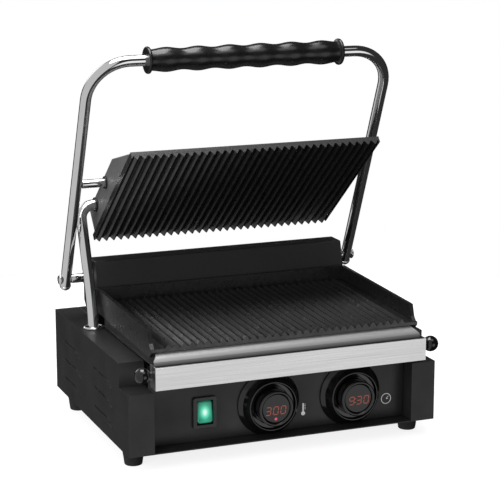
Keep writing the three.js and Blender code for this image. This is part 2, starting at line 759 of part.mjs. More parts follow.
function dripTray() {
  const boxRear = trayFrontY + trayFrontBox;
  const trayTop = trayBase + trayFrontHeight;
  const panTop = trayBase + trayPanHeight;
  const front = cut(
    box(-trayHalf, trayHalf, trayFrontY, boxRear, trayBase, trayTop),
    box(-trayHalf + sheet, trayHalf - sheet, trayFrontY + sheet, boxRear + 1,
      trayBase + sheet, trayTop + 1));
  const pan = cut(
    box(-panHalf, panHalf, boxRear - 1, trayPanRear, trayBase, panTop),
    box(-panHalf + sheet, panHalf - sheet, boxRear - 2, trayPanRear - sheet,
      trayBase + sheet, panTop + 1));
  const cheeks = sides.map(([, side]) => box(
    side < 0 ? -trayHalf : panHalf - sheet, side < 0 ? -panHalf + sheet : trayHalf,
    boxRear - sheet, boxRear, trayBase, panTop));
  const boltHoles = rodX(1.6, -half, half, trayFrontY + 12, trayBase + 17, 12);
  return cut(join(front, pan, ...cheeks), boltHoles);
}
place(tray, 'drip_tray', dripTray(), brushedSteel);

function trayKnob(side) {
  const arc = Array.from({ length: 7 }, (_, k) => {
    const a = -Math.PI * 0.36 + (k / 6) * Math.PI * 0.86;
    return [ballRadius * Math.cos(a), ballOffset + ballRadius * Math.sin(a)];
  });
  const profile = [[0, -4], [1.4, -4], [1.4, fitGap], [ballStem, fitGap], [ballStem, 3], ...arc];
  profile[profile.length - 1] = [0, ballOffset + ballRadius];
  const knob = turnToX(turned(profile, 14))
    .translate([trayHalf, trayFrontY + 12, trayBase + 17]);
  return mirrored(knob, side);
}
for (const [name, side] of sides) {
  place(tray, `tray_knob_${name}`, trayKnob(side), glossBlack);
}

// ---------------------------------------------------------------- lifting frame

// In its own frame: origin on the hinge axis, z along the arms.
const liftFrame = new THREE.Group();
liftFrame.position.set(0, hingeY, hingeZ);
liftFrame.rotation.x = armLean;
press.add(liftFrame);

function framePath(tail) {
  const up = new THREE.Vector3(0, 0, 1);
  const across = new THREE.Vector3(1, 0, 0);
  const low = new THREE.Vector3(-armX, 0, tail);
  const bendStart = new THREE.Vector3(-armX, 0, armLength - bendRadius);
  const topStart = new THREE.Vector3(-armX + bendRadius, 0, armLength);
  const topEnd = topStart.clone().setX(-topStart.x);
  const bendEnd = bendStart.clone().setX(armX);
  return new StationPath([
    [line(low, bendStart), 1],
    [new Bend(bendStart, up, across, bendRadius), 6],
    [line(topStart, topEnd), 1],
    [new Bend(topEnd, across, up.clone().negate(), bendRadius), 6],
    [line(bendEnd, low.clone().setX(armX)), 1],
  ]);
}

const boltRadius = 4;
const nutRadius = 7;
const nutHeight = 3.4;
const liftTube = cut(
  sweep(framePath(-armTail), circle(tubeRadius, 12)),
  sweep(framePath(-armTail - 1), circle(tubeRadius - tubeWall, 8)),
  rodX(boltRadius + 0.2, -half - 20, half + 20, 0, 0, 12),
);
place(liftFrame, 'lift_frame_tube', liftTube, chrome);

function hingeShaft() {
  const shoulder = armX - tubeRadius - fitGap;
  const end = armX + tubeRadius + fitGap + nutHeight / 2;
  const profile = [
    [0, -end], [boltRadius, -end], [boltRadius, -shoulder], [shaftRadius, -shoulder],
    [shaftRadius, shoulder], [boltRadius, shoulder], [boltRadius, end], [0, end],
  ];
  return turnToX(turned(profile, 14));
}
place(liftFrame, 'hinge_shaft', hingeShaft(), chrome);

function hingeNut(side) {
  const low = armX + tubeRadius + fitGap;
  const bore = boltRadius + 0.2;
  const blind = low + nutHeight / 2 + fitGap;
  const profile = [
    [bore, low], [nutRadius, low], [nutRadius, low + 0.4 * nutHeight],
    [0.8 * nutRadius, low + 0.8 * nutHeight], [0.4 * nutRadius, low + nutHeight],
    [0, low + nutHeight], [0, blind], [bore, blind], [bore, low],
  ];
  return mirrored(turnToX(turned(profile, 12)), side);
}

// A domed plug that closes the lower end of an arm.
function armCap(side) {
  const top = -armTail - fitGap;
  const dome = Array.from({ length: 6 }, (_, k) => {
    const a = -(k / 5) * Math.PI / 2;
    return [(tubeRadius + 0.6) * Math.cos(a), top + (tubeRadius + 0.6) * Math.sin(a)];
  }).reverse();
  dome[0][0] = 0;
  const plug = tubeRadius - tubeWall - 0.5;
  const profile = [...dome, [plug, top], [plug, top + 4], [0, top + 4]];
  return turned(profile, 12).translate([side * armX, 0, 0]);
}

function pivotRod(side) {
  const rod = turnToX(turned(
    rodProfile(rodRadius, upperHalf - 20, armX - tubeRadius - fitGap), 16));
  return mirrored(rod, side).translate([0, 0, armToRod]);
}

for (const [name, side] of sides) {
  place(liftFrame, `hinge_nut_${name}`, hingeNut(side), chrome);
  place(liftFrame, `arm_cap_${name}`, armCap(side), chrome);
  place(liftFrame, `pivot_rod_${name}`, pivotRod(side), chrome);
}

function handleGrip() {
  const flange = 4;
  const bodyHalf = gripLength / 2 - flange;
  const stepsPerWave = 4;
  const count = gripWaves * stepsPerWave;
  const mean = (gripBulge + gripNeck) / 2;
  const swing = (gripBulge - gripNeck) / 2;
  const waves = Array.from({ length: count + 1 }, (_, k) => [
    mean - swing * Math.cos((k / stepsPerWave) * 2 * Math.PI),
    -bodyHalf + (k / count) * 2 * bodyHalf,
  ]);
  const end = gripLength / 2;
  const bore = tubeRadius + fitGap;
  const profile = [
    [bore, -end], [gripFlange - 1, -end], [gripFlange, -end + 1], [gripFlange, -bodyHalf - 1],
    [gripFlange - 1, -bodyHalf], ...waves, [gripFlange - 1, bodyHalf],
    [gripFlange, bodyHalf + 1], [gripFlange, end - 1], [gripFlange - 1, end], [bore, end],
    [bore, -end],
  ];
  return turnToX(turned(profile, 14)).translate([0, 0, armLength]);
}
place(liftFrame, 'handle_grip', handleGrip(), mattBlack);

// ---------------------------------------------------------------- upper plate and housing

// In its own frame: origin on the rib tips at the front edge's middle, y to the back edge.
const upperFrame = new THREE.Group();
upperFrame.rotation.x = -openTilt;
press.add(upperFrame);
const rodInPlate = new THREE.Vector2(rodFromFront, rodAboveRibs);
const turn2 = (v, angle) => v.clone().rotateAround(new THREE.Vector2(), angle);
const upperOrigin = rodOpen.clone().sub(turn2(rodInPlate, -openTilt));
upperFrame.position.set(0, upperOrigin.x, upperOrigin.y);

function upperPlate() {
  const slab = box(-upperHalf, upperHalf, 0, upperDepth, ribHeight, upperSlab);
  const ribs = prismY(ribOutline(upperHalf - 1.5, ribHeight + 1, ribHeight, 0), 0, upperDepth);
  const ends = sides.map(([, side]) => box(
    side < 0 ? -upperHalf : upperHalf - 2, side < 0 ? -upperHalf + 2 : upperHalf,
    0, upperDepth, ribHeight / 2, ribHeight + 1));
  return join(slab, ribs, ...ends);
}
place(upperFrame, 'upper_grill_plate', upperPlate(), castIron);

const housingHalf = upperHalf - housingInset;
const housingBase = upperSlab + fitGap;
const conduitInPlateY = upperDepth - conduitFromRear;
const rodBushing = 1.2; // wall of the bushing in the housing's side

function upperHousing() {
  const outline = [
    [housingFront, housingBase], [upperDepth - 1, housingBase], [upperDepth - 1, housingHeight],
    [housingFront + housingSlope, housingHeight],
  ];
  const hollow = inset(outline, sheet);
  const below = hollow.filter(([, z]) => z < housingBase + 3).map(([y]) => [y, housingBase - 5]);
  const open = [below[0], below[1], hollow[1], hollow[2], hollow[3], hollow[0]];
  const inner = housingHalf - sheet;
  return cut(
    prismX(outline, -housingHalf, housingHalf),
    prismX(open, -inner, inner),
    rodX(rodRadius + rodBushing + fitGap, -half, -inner + 1, rodInPlate.x, rodInPlate.y, 14),
    rodX(rodRadius + rodBushing + fitGap, inner - 1, half, rodInPlate.x, rodInPlate.y, 14),
    rodX(conduitRadius + fitGap, -half, -inner + 1, conduitInPlateY, rodAboveRibs, 14),
  );
}
place(upperFrame, 'upper_housing', upperHousing(), powderCoat);

function rodBushingRing(side) {
  const r = boreRadius(rodRadius, bushingSides);
  const profile = [
    [r, -7], [rodRadius + rodBushing, -7], [rodRadius + rodBushing, fitGap],
    [rodRadius + 2.9, fitGap], [rodRadius + 2.9, 2.2], [r, 2.2], [r, -7],
  ];
  const ring = turnToX(turned(profile, bushingSides));
  return mirrored(ring.translate([housingHalf, rodInPlate.x, rodInPlate.y]), side);
}
for (const [name, side] of sides) {
  place(upperFrame, `pivot_bushing_${name}`, rodBushingRing(side), mattBlack);
}

const upperElement = heatingElement(elementReach - plateSideGap, upperDepth);
place(upperFrame, 'upper_heating_element',
  upperElement.translate([0, 0, upperSlab + fitGap + element.radius]), plainSteel);
const reflectorBase = upperSlab + fitGap + 2 * element.radius + reflector.gap;
const reflectorFront = 2 * reflector.fromEnd; // under the housing's slope
const upperReflector = box(-upperHalf + reflector.fromSide, upperHalf - reflector.fromSide,
  reflectorFront, upperDepth - reflector.fromEnd,
  reflectorBase, reflectorBase + reflector.thickness);
place(upperFrame, 'upper_reflector', upperReflector, plainSteel);

// The conduit slides down into the side housing as the grill closes, so its line is the path
// that the flange's hole takes, seen from the upper plate.
function holeSeenFromPlate(share) {
  const frameTurn = share * closingTurn;
  const arm = new THREE.Vector2(-Math.sin(armLean + frameTurn), Math.cos(armLean + frameTurn));
  const rod = new THREE.Vector2(hingeY, hingeZ).addScaledVector(arm, armToRod);
  const hole = new THREE.Vector2(conduitY, podTop).sub(rod);
  return turn2(hole, openTilt - share * plateTurn).add(rodInPlate);
}

function conduitTube() {
  const x = -conduitX;
  const at = (v) => new THREE.Vector3(x, v.x, v.y);
  const entry = new THREE.Vector3(x, conduitInPlateY, rodAboveRibs);
  const closed = at(holeSeenFromPlate(1));
  const down = closed.clone().sub(entry).normalize();
  const out = new THREE.Vector3(-1, 0, 0);
  const bendStart = entry.clone().addScaledVector(out, -conduitBend);
  const bendEnd = entry.clone().addScaledVector(down, conduitBend);
  const marks = [1, 0.8, 0.6, 0.4, 0.2, 0].map((share) => at(holeSeenFromPlate(share)));
  const last = marks[5].clone().sub(marks[4]).normalize();
  const tail = marks[5].clone().addScaledVector(last, conduitSpare);
  const run = new THREE.CatmullRomCurve3([bendEnd, ...marks, tail], false, 'centripetal');
  const path = new StationPath([
    [line(bendStart.clone().setX(-housingHalf + 8), bendStart), 1],
    [new Bend(bendStart, out, down, conduitBend), 6],
    [run, 7],
  ]);
  return cut(sweep(path, circle(conduitRadius, 12)),
    sweep(path, circle(conduitRadius - tubeWall, 8))
      .add(rodX(conduitRadius - tubeWall - 0.05, -housingHalf, -housingHalf + 20,
        conduitInPlateY, rodAboveRibs, 8)));
}
place(upperFrame, 'conduit_tube', conduitTube(), chrome);

const conduitCollar = turnToX(turned(
  ringProfile(conduitRadius + 0.4, conduitRadius + 2.5, 0, 2), 20))
  .translate([-housingHalf - 2 - fitGap, conduitInPlateY, rodAboveRibs]);
place(upperFrame, 'conduit_collar', conduitCollar, mattBlack);

function conduitFlange() {
  const profile = [
    [conduitHoleRadius, 0], [conduitFlangeRadius, 0], [conduitFlangeRadius, 1.6],
    [conduitFlangeRadius - 0.8, 3], [conduitHoleRadius + 0.4, 3], [conduitHoleRadius, 2.6],
    [conduitHoleRadius, 0],
  ];
  return turned(profile, 20).translate([-conduitX, conduitY, podTop + fitGap]);
}
place(press, 'conduit_flange', conduitFlange(), chrome);

// ---------------------------------------------------------------- dials and displays

// Profiles are (radius, distance in front of the panel).
function dialBase() {
  const rim = dialRimRadius;
  const whole = turned([
    [stemRadius + 0.6, fitGap], [dialBaseRadius, fitGap], [dialBaseRadius - 0.4, 2],
    [rim + 4.6, 6], [rim + 1.8, 11], [rim, dialDepth - 1], [rim - 0.8, dialDepth],
    [rim - 2, dialDepth - 0.6], [rim - 2.4, dialDepth - 5], [ringRadius + 1, dialDepth - 5],
    [ringRadius + 1, 3], [stemRadius + 0.6, 3], [stemRadius + 0.6, fitGap],
  ], 24);
  const trim = box(-dialBaseRadius, dialBaseRadius, -dialBaseRadius - boreLip,
    dialTrim - dialBaseRadius, 0, dialDepth);
  return cut(whole, trim);
}

function dialRing() {
  const inner = displayRadius + 0.5;
  return turned([
    [inner, 3.4], [ringRadius - 0.4, 3.4], [ringRadius, ringDepth - 5],
    [ringRadius, ringDepth - 2], [ringRadius - 1.2, ringDepth - 0.4],
    [ringRadius - 2.4, ringDepth], [inner + 0.6, ringDepth - 0.8], [inner, ringDepth - 2],
    [inner, 3.4],
  ], 20);
}

function displayModule() {
  return turned([
    [0, -5], [stemRadius, -5], [stemRadius, ringDepth - 9], [displayRadius, ringDepth - 7],
    [displayRadius, ringDepth - 2.6], [0, ringDepth - 2.6],
  ], 20);
}

function controlBoard() {
  const plate = box(-30, 30, panelRecess + 6.8, panelRecess + 8.4, -28, 28);
  const parts = [
    box(-26, -12, panelRecess + 8.2, panelRecess + 20, -22, -6),
    box(8, 24, panelRecess + 8.2, panelRecess + 17, -20, 0),
    box(-10, 12, panelRecess + 8.2, panelRecess + 14, 8, 22),
  ];
  return join(plate, ...parts);
}

['temperature', 'timer'].forEach((name, k) => {
  const dial = new THREE.Group();
  dial.position.set(dialX[k], 0, dialHeight);
  press.add(dial);
  const onPanel = (manifold) => turnToFront(manifold).translate([0, panelRecess, 0]);
  place(dial, `${name}_dial_base`, onPanel(dialBase()), glossBlack);
  place(dial, `${name}_dial_ring`, onPanel(dialRing()), glossBlack);
  place(dial, `${name}_display`, onPanel(displayModule()), darkLens);
  place(dial, `${name}_board`, controlBoard(), board);
});

// ---------------------------------------------------------------- mains switch

const switchGroup = new THREE.Group();
switchGroup.position.set(switchX, panelRecess, switchHeight);
press.add(switchGroup);

function switchHousing() {
  const front = prismY(roundedRect(bezelWidth, bezelHeight, 3, 3), -4, -fitGap);
  const body = box(-switchBody.width / 2, switchBody.width / 2, -1, switchBody.depth,
    -switchBody.height / 2, switchBody.height / 2);
  const pocket = box(-rockerWidth / 2 - 0.5, rockerWidth / 2 + 0.5, -5, 9, -15.4, 15.4);
  return cut(join(front, body), pocket);
}
place(switchGroup, 'switch_housing', switchHousing(), mattBlack);

// The rocker turns about a pivot just behind the panel.
const rockerPivotY = 1.5;
const rocker = new THREE.Group();
rocker.position.set(0, rockerPivotY, 0);
rocker.rotation.x = -rockerTilt;
switchGroup.add(rocker);
const rockerOutline = [ // (y, z)
  [-4.6, -rockerHeight / 2 + 0.3], [1, -rockerHeight / 2], [5, -7], [5, 7],
  [1, rockerHeight / 2], [-4.6, rockerHeight / 2 - 0.3], [-5.6, rockerHeight / 2 - 1.2],
  [-4.4, 0], [-5.6, -rockerHeight / 2 + 1.2],
];
const rockerSolid = prismX(rockerOutline, -rockerWidth / 2, rockerWidth / 2);
place(rocker, 'power_rocker', rockerSolid, greenLens);

// ---------------------------------------------------------------- origin

// The middle of the footprint on the bench becomes the origin.
const footprint = new THREE.Box3().setFromObject(press, true);
press.position.y = -(footprint.min.y + footprint.max.y) / 2;

export default press;
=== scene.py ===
"""Contact grill (panini press), shown open: the looks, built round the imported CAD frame.

Metres, in the row frame: +X is the operator's right, +Y the back, +Z up, z = 0 the bench.
Places come from the frame's nodes and joints; sizes named below are the object's own.
"""

import json
import math

import bmesh
import bpy
from mathutils import Matrix, Vector


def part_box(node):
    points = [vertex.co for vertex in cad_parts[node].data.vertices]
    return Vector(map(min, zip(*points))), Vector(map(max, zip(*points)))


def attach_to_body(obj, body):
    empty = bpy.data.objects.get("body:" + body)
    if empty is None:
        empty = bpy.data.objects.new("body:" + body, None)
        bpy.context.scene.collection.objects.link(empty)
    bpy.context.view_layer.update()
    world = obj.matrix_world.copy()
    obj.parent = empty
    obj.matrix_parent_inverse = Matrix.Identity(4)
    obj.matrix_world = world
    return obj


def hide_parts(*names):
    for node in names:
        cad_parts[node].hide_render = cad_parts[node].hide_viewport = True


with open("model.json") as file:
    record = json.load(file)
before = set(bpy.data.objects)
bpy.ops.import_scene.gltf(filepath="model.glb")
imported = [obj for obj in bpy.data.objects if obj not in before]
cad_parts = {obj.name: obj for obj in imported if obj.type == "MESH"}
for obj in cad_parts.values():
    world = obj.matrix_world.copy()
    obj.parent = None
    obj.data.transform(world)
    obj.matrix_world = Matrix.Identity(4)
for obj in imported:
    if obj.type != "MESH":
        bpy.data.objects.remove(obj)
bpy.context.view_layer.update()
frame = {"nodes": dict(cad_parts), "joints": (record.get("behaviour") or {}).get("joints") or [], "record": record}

MM = 0.001
TAU = 2 * math.pi
X, Y, Z = Vector((1, 0, 0)), Vector((0, 1, 0)), Vector((0, 0, 1))
SIDES = {"left": -1, "right": 1}

# ------------------------------------------------------------------ named sizes

ARM_LEAN = math.radians(23.3)      # the lifting frame, forward from upright, when open
OPEN_TILT = math.radians(39.3)     # the upper platen's front edge, up from level, when open
ROCKER_TILT = math.radians(8)      # the rocker, its upper half pressed in
SMOOTH = math.radians(35)          # a flatter corner than this is shaded smooth
SHARP = math.radians(30)           # a CAD corner above this is rounded
AXIS = 0.01 * MM                   # a closed profile's nearest point to its axis
LIT_DEPTH = 0.12 * MM              # lit characters stand this far off the glass
PRINT_DEPTH = 0.1 * MM

GRAIN = (14, 2600, 2600)           # brush marks, drawn out along X
BROAD_GRAIN = (8, 1600, 1600)

CAMERA = {  # angles in degrees
    "azimuth": -21.86,
    "elevation": 12.71,
    "distance": 2.282,
    "target": Vector((0.0112, -0.0015, 0.2289)),
    "lens": 126.8,
}


# ------------------------------------------------------------------ materials

class Look:
    """A procedural material: a Principled shader with noise that works in object coordinates."""

    def __init__(self, name, base, roughness, metallic=0.0, **sockets):
        self.material = bpy.data.materials.new(name)
        self.material.use_nodes = True
        self.tree = self.material.node_tree
        self.shader = self.tree.nodes["Principled BSDF"]
        self.base = base
        self.roughness = roughness
        self.shader.inputs["Base Color"].default_value = (*base, 1)
        self.shader.inputs["Roughness"].default_value = roughness
        self.shader.inputs["Metallic"].default_value = metallic
        for socket, value in sockets.items():
            self.shader.inputs[socket.replace("_", " ")].default_value = value
        self.where = self.node("ShaderNodeTexCoord").outputs["Object"]
        self.normal = None

    def node(self, kind, **values):
        made = self.tree.nodes.new(kind)
        for key, value in values.items():
            setattr(made, key, value)
        return made

    def link(self, a, b):
        self.tree.links.new(a, b)

    def noise(self, scale, detail=2.0, stretch=(1, 1, 1)):
        mapping = self.node("ShaderNodeMapping")
        mapping.inputs["Scale"].default_value = stretch
        noise = self.node("ShaderNodeTexNoise")
        noise.inputs["Scale"].default_value = scale
        noise.inputs["Detail"].default_value = detail
        self.link(self.where, mapping.inputs["Vector"])
        self.link(mapping.outputs["Vector"], noise.inputs["Vector"])
        return noise.outputs["Fac"]

    def ramp(self, fac, low, high, span=(0.3, 0.7)):
        ramp = self.node("ShaderNodeValToRGB")
        ramp.color_ramp.elements[0].position = span[0]
        ramp.color_ramp.elements[1].position = span[1]
        ramp.color_ramp.elements[0].color = (*low, 1)
        ramp.color_ramp.elements[1].color = (*high, 1)
        self.link(fac, ramp.inputs["Fac"])
        return ramp.outputs["Color"]

    def mottle(self, fac, spread, span=(0.3, 0.7)):
        """Base colour varied by a share of itself either way."""
        low = tuple(c * (1 - spread) for c in self.base)
        high = tuple(min(1, c * (1 + spread)) for c in self.base)
        self.link(self.ramp(fac, low, high, span), self.shader.inputs["Base Color"])
        return self

    def sheen_spots(self, fac, spread):
        """Roughness varied either way by an amount."""
        low, high = self.roughness - spread, self.roughness + spread
        self.link(self.ramp(fac, (low,) * 3, (high,) * 3), self.shader.inputs["Roughness"])
        return self

    def bump(self, fac, strength, height):
        bump = self.node("ShaderNodeBump")
        bump.inputs["Strength"].default_value = strength
        bump.inputs["Distance"].default_value = height
        self.link(fac, bump.inputs["Height"])
        if self.normal:
            self.link(self.normal, bump.inputs["Normal"])
        self.normal = bump.outputs["Normal"]
        self.link(self.normal, self.shader.inputs["Normal"])
        return self


def powder_coat(name, base, roughness=0.42):
    look = Look(name, base, roughness)
    look.mottle(look.noise(160, 4), 0.05)
    look.sheen_spots(look.noise(25, 3), 0.05)
    look.bump(look.noise(900, 2), 0.12, 0.15 * MM)
    return look.material


def cast_iron():
    look = Look("cast_iron", (0.009, 0.009, 0.009), 0.33, Specular_IOR_Level=0.8)
    look.mottle(look.noise(500, 4), 0.5)
    look.sheen_spots(look.noise(120, 4), 0.08)
    look.bump(look.noise(650, 3), 0.35, 0.2 * MM)
    look.bump(look.noise(90, 3), 0.12, 0.4 * MM)
    return look.material


def chrome():
    look = Look("chrome", (0.82, 0.82, 0.83), 0.07, 1.0)
    look.mottle(look.noise(30, 3), 0.03)
    look.sheen_spots(look.noise(80, 4), 0.025)
    look.bump(look.noise(35, 2), 0.012, 0.3 * MM)
    return look.material


def apron_steel_painted_shade(low, high):
    """Satin steel between two heights, with painted shade: the base colour darkens towards the lower."""
    painted_shade_tone, pale = (0.04, 0.04, 0.04), (0.5, 0.5, 0.505)
    look = Look("apron_steel_painted_shade", pale, 0.45, 0.4)
    height = look.node("ShaderNodeSeparateXYZ")
    look.link(look.where, height.inputs["Vector"])
    share = look.node("ShaderNodeMapRange")
    share.inputs["From Min"].default_value = low
    share.inputs["From Max"].default_value = high
    look.link(height.outputs["Z"], share.inputs["Value"])
    # painted shade: the base colour runs from the shaded tone at the lower height to pale at the upper
    colour = look.ramp(share.outputs["Result"], painted_shade_tone, pale, (0.3, 0.95))
    look.link(colour, look.shader.inputs["Base Color"])
    look.bump(look.noise(1, 3, GRAIN), 0.08, 0.03 * MM)
    return look.material


def brushed_steel():
    look = Look("brushed_steel", (0.74, 0.74, 0.745), 0.3, 1.0)
    grain = look.noise(1, 3, GRAIN)
    look.mottle(grain, 0.06)
    look.sheen_spots(look.noise(1, 2, BROAD_GRAIN), 0.05)
    look.bump(grain, 0.08, 0.03 * MM)
    return look.material


def plain_steel():
    look = Look("plain_steel", (0.42, 0.42, 0.43), 0.38, 1.0)
    look.mottle(look.noise(200, 4), 0.2)
    look.sheen_spots(look.noise(90, 3), 0.08)
    look.bump(look.noise(700, 2), 0.1, 0.1 * MM)
    return look.material


def plastic(name, base, roughness, grain=1200, strength=0.05, coat=0.0):
    look = Look(name, base, roughness, Coat_Weight=coat, Coat_Roughness=0.05)
    look.mottle(look.noise(300, 3), 0.25)
    look.sheen_spots(look.noise(70, 3), 0.03)
    look.bump(look.noise(grain, 2), strength, 0.1 * MM)
    return look.material


def rubber():
    look = Look("foot_rubber", (0.012, 0.012, 0.012), 0.8)
    look.mottle(look.noise(300, 4), 0.3)
    look.bump(look.noise(1500, 2), 0.3, 0.15 * MM)
    return look.material


def brass():
    look = Look("brass", (0.6, 0.45, 0.2), 0.35, 1.0)
    look.mottle(look.noise(200, 3), 0.15)
    return look.material


def circuit_board():
    look = Look("circuit_board", (0.02, 0.16, 0.06), 0.35)
    look.mottle(look.noise(700, 4), 0.5)
    return look.material


def ceramic():
    look = Look("ceramic", (0.75, 0.72, 0.64), 0.6)
    look.mottle(look.noise(400, 4), 0.08)
    look.bump(look.noise(1500, 2), 0.2, 0.1 * MM)
    return look.material


# glowing colour: the LEDs glow from their own lamps, while on the white print the glow is painted light
def lit(name, base, colour, strength, roughness=0.3):
    look = Look(name, base, roughness)
    look.mottle(look.noise(500, 2), 0.1)
    look.shader.inputs["Emission Color"].default_value = (*colour, 1)
    look.shader.inputs["Emission Strength"].default_value = strength
    return look.material


def green_lens(centre):
    """Green that glows, brightest over the lamp behind its middle."""
    glow_size = (10 * MM, 30 * MM, 14 * MM)
    look = Look("green_lens", (0.01, 0.22, 0.13), 0.18, Coat_Weight=0.5, Coat_Roughness=0.05)
    mapping = look.node("ShaderNodeMapping", vector_type="TEXTURE")
    mapping.inputs["Location"].default_value = centre
    mapping.inputs["Scale"].default_value = glow_size
    glow = look.node("ShaderNodeTexGradient", gradient_type="SPHERICAL")
    look.link(look.where, mapping.inputs["Vector"])
    look.link(mapping.outputs["Vector"], glow.inputs["Vector"])
    ramp = look.node("ShaderNodeValToRGB")
    stops = [(0.0, (0.0, 0.05, 0.03)), (0.3, (0.0, 0.25, 0.14)), (0.6, (0.12, 0.75, 0.5)),
             (0.85, (0.9, 1.0, 0.97))]
    for place, colour in stops[1:-1]:
        ramp.color_ramp.elements.new(place).color = (*colour, 1)
    ramp.color_ramp.elements[0].color = (*stops[0][1], 1)
    ramp.color_ramp.elements[-1].position = stops[-1][0]
    ramp.color_ramp.elements[-1].color = (*stops[-1][1], 1)
    look.link(glow.outputs["Fac"], ramp.inputs["Fac"])
    look.link(ramp.outputs["Color"], look.shader.inputs["Emission Color"])
    look.shader.inputs["Emission Strength"].default_value = 0.8
    return look.material


# ------------------------------------------------------------------ mesh helpers

def about_x(origin, angle):
    """A frame turned about X and placed at origin."""
    return Matrix.Translation(origin) @ Matrix.Rotation(angle, 4, "X")


def box_in(node, space):
    """A CAD node's lowest and highest corners, seen in another frame."""
    back = space.inverted()
    points = [back @ v.co for v in frame["nodes"][node].data.vertices]
    return (Vector([min(p[k] for p in points) for k in range(3)]),
            Vector([max(p[k] for p in points) for k in range(3)]))


def middle(node):
    low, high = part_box(node)
    return (Vector(low) + Vector(high)) / 2


def finish_mesh(name, bm, look, space=None):
    """The bmesh as an object, smooth except at corners."""
    bmesh.ops.recalc_face_normals(bm, faces=bm.faces)
    for face in bm.faces:
        face.smooth = True
    for edge in bm.edges:
        if len(edge.link_faces) == 2:
            edge.smooth = edge.calc_face_angle(0) < SMOOTH
    if space is not None:
        bm.transform(space)
    mesh = bpy.data.meshes.new(name)
    bm.to_mesh(mesh)
    bm.free()
    mesh.materials.append(look)
    piece = bpy.data.objects.new(name, mesh)
    bpy.context.scene.collection.objects.link(piece)
    return piece


def attach(piece, body, slot, *nodes):
    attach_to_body(piece, body)
    if nodes:
        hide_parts(*nodes)


def fillet(corners, steps=4):
    """A 2-D outline through corners (a, b, radius), each rounded as far as its sides allow."""
    points = []
    for k, (a, b, radius) in enumerate(corners):
        here = Vector((a, b))
        if radius == 0 or k in (0, len(corners) - 1):
            points.append(here)
            continue
        before = Vector(corners[k - 1][:2]) - here
        after = Vector(corners[k + 1][:2]) - here
        half = before.angle(after) / 2
        if half > math.radians(89):
            points.append(here)
            continue
        reach = min(radius / math.tan(half), before.length * 0.5, after.length * 0.5)
        true_radius = reach * math.tan(half)
        bisector = (before.normalized() + after.normalized()).normalized()
        centre = here + bisector * (true_radius / math.sin(half))
        start = here + before.normalized() * reach - centre
        end = here + after.normalized() * reach - centre
        turn = start.angle_signed(end)
        for step in range(steps + 1):
            points.append(centre + Matrix.Rotation(-turn * step / steps, 2) @ start)
    return points


def lathe(profile, segments=64, closed=False):
    """A (radius, height) profile turned about Z. A closed profile makes a ring."""
    bm = bmesh.new()
    rings = []
    for radius, height in profile:
        if radius < 1e-7:
            rings.append([bm.verts.new((0, 0, height))])
            continue
        rings.append([
            bm.verts.new((radius * math.cos(TAU * k / segments),
                          radius * math.sin(TAU * k / segments), height))
            for k in range(segments)])
    for low, high in zip(rings, rings[1:] + ([rings[0]] if closed else [])):
        for k in range(segments):
            n = (k + 1) % segments
            if len(low) == 1 and len(high) == 1:
                continue
            if len(low) == 1:
                bm.faces.new((low[0], high[n], high[k]))
            elif len(high) == 1:
                bm.faces.new((low[k], low[n], high[0]))
            else:
                bm.faces.new((low[k], low[n], high[n], high[k]))
    return bm


TO_X = Matrix.Rotation(math.pi / 2, 4, "Y")        # the lathe's axis becomes +X
TO_FRONT = Matrix.Rotation(math.pi / 2, 4, "X")    # the lathe's axis becomes -Y
TO_BACK = Matrix.Rotation(-math.pi / 2, 4, "X")    # the lathe's axis becomes +Y


def flip_x(side):
    return Matrix.Scale(side, 4, X)


def arc(centre, start, end, count):
    """Points round centre, from one spoke to another at right angles to it."""
    return [centre + start * math.cos(a) + end * math.sin(a)
            for a in (k / count * math.pi / 2 for k in range(1, count + 1))]


def smooth_path(points, steps):
    """A Catmull-Rom curve through the points."""
    ends = [points[0] * 2 - points[1], *points, points[-1] * 2 - points[-2]]
    path = []
    for a, b, c, d in zip(ends, ends[1:], ends[2:], ends[3:]):
        for k in range(steps):
            t = k / steps
            path.append(0.5 * ((2 * b) + (c - a) * t + (2 * a - 5 * b + 4 * c - d) * t * t
                               + (3 * b - a - 3 * c + d) * t ** 3))
    return [*path, points[-1]]


def tube(path, radius, sides=32):
    """A round bar along a path, with flat ends."""
    bm = bmesh.new()
    count = len(path)
    tangents = [(path[min(k + 1, count - 1)] - path[max(k - 1, 0)]).normalized()
                for k in range(count)]
    across = tangents[0].orthogonal().normalized()
    rings = []
    for point, tangent in zip(path, tangents):
        across = (across - tangent * across.dot(tangent)).normalized()
        up = tangent.cross(across)
        rings.append([
            bm.verts.new(point + radius * (across * math.cos(TAU * k / sides)
                                           + up * math.sin(TAU * k / sides)))
            for k in range(sides)])
    for low, high in zip(rings, rings[1:]):
        for k in range(sides):
            n = (k + 1) % sides
            bm.faces.new((low[k], low[n], high[n], high[k]))
    bm.faces.new(rings[0][::-1])
    bm.faces.new(rings[-1])
    return bm


def rounded_corners(width, height, radius, steps=6):
    """A rounded rectangle about the origin, as (a, b) points."""
    return [
        (sx * (width / 2 - radius) + radius * math.cos(angle),
         sz * (height / 2 - radius) + radius * math.sin(angle))
        for quarter, (sx, sz) in enumerate([(1, 1), (-1, 1), (-1, -1), (1, -1)])
        for angle in ((quarter + k / steps) * math.pi / 2 for k in range(steps + 1))]


def add_prism(bm, outline, depth, at):
    """An outline in (x, z) as a thin plate that faces -Y, depth thick."""
    front = [bm.verts.new(at + Vector((a, -depth, b))) for a, b in outline]
    rear = [bm.verts.new(at + Vector((a, 0, b))) for a, b in outline]
    bm.faces.new(front)
    bm.faces.new(rear[::-1])
    count = len(outline)
    for k in range(count):
        n = (k + 1) % count
        bm.faces.new((front[n], front[k], rear[k], rear[n]))


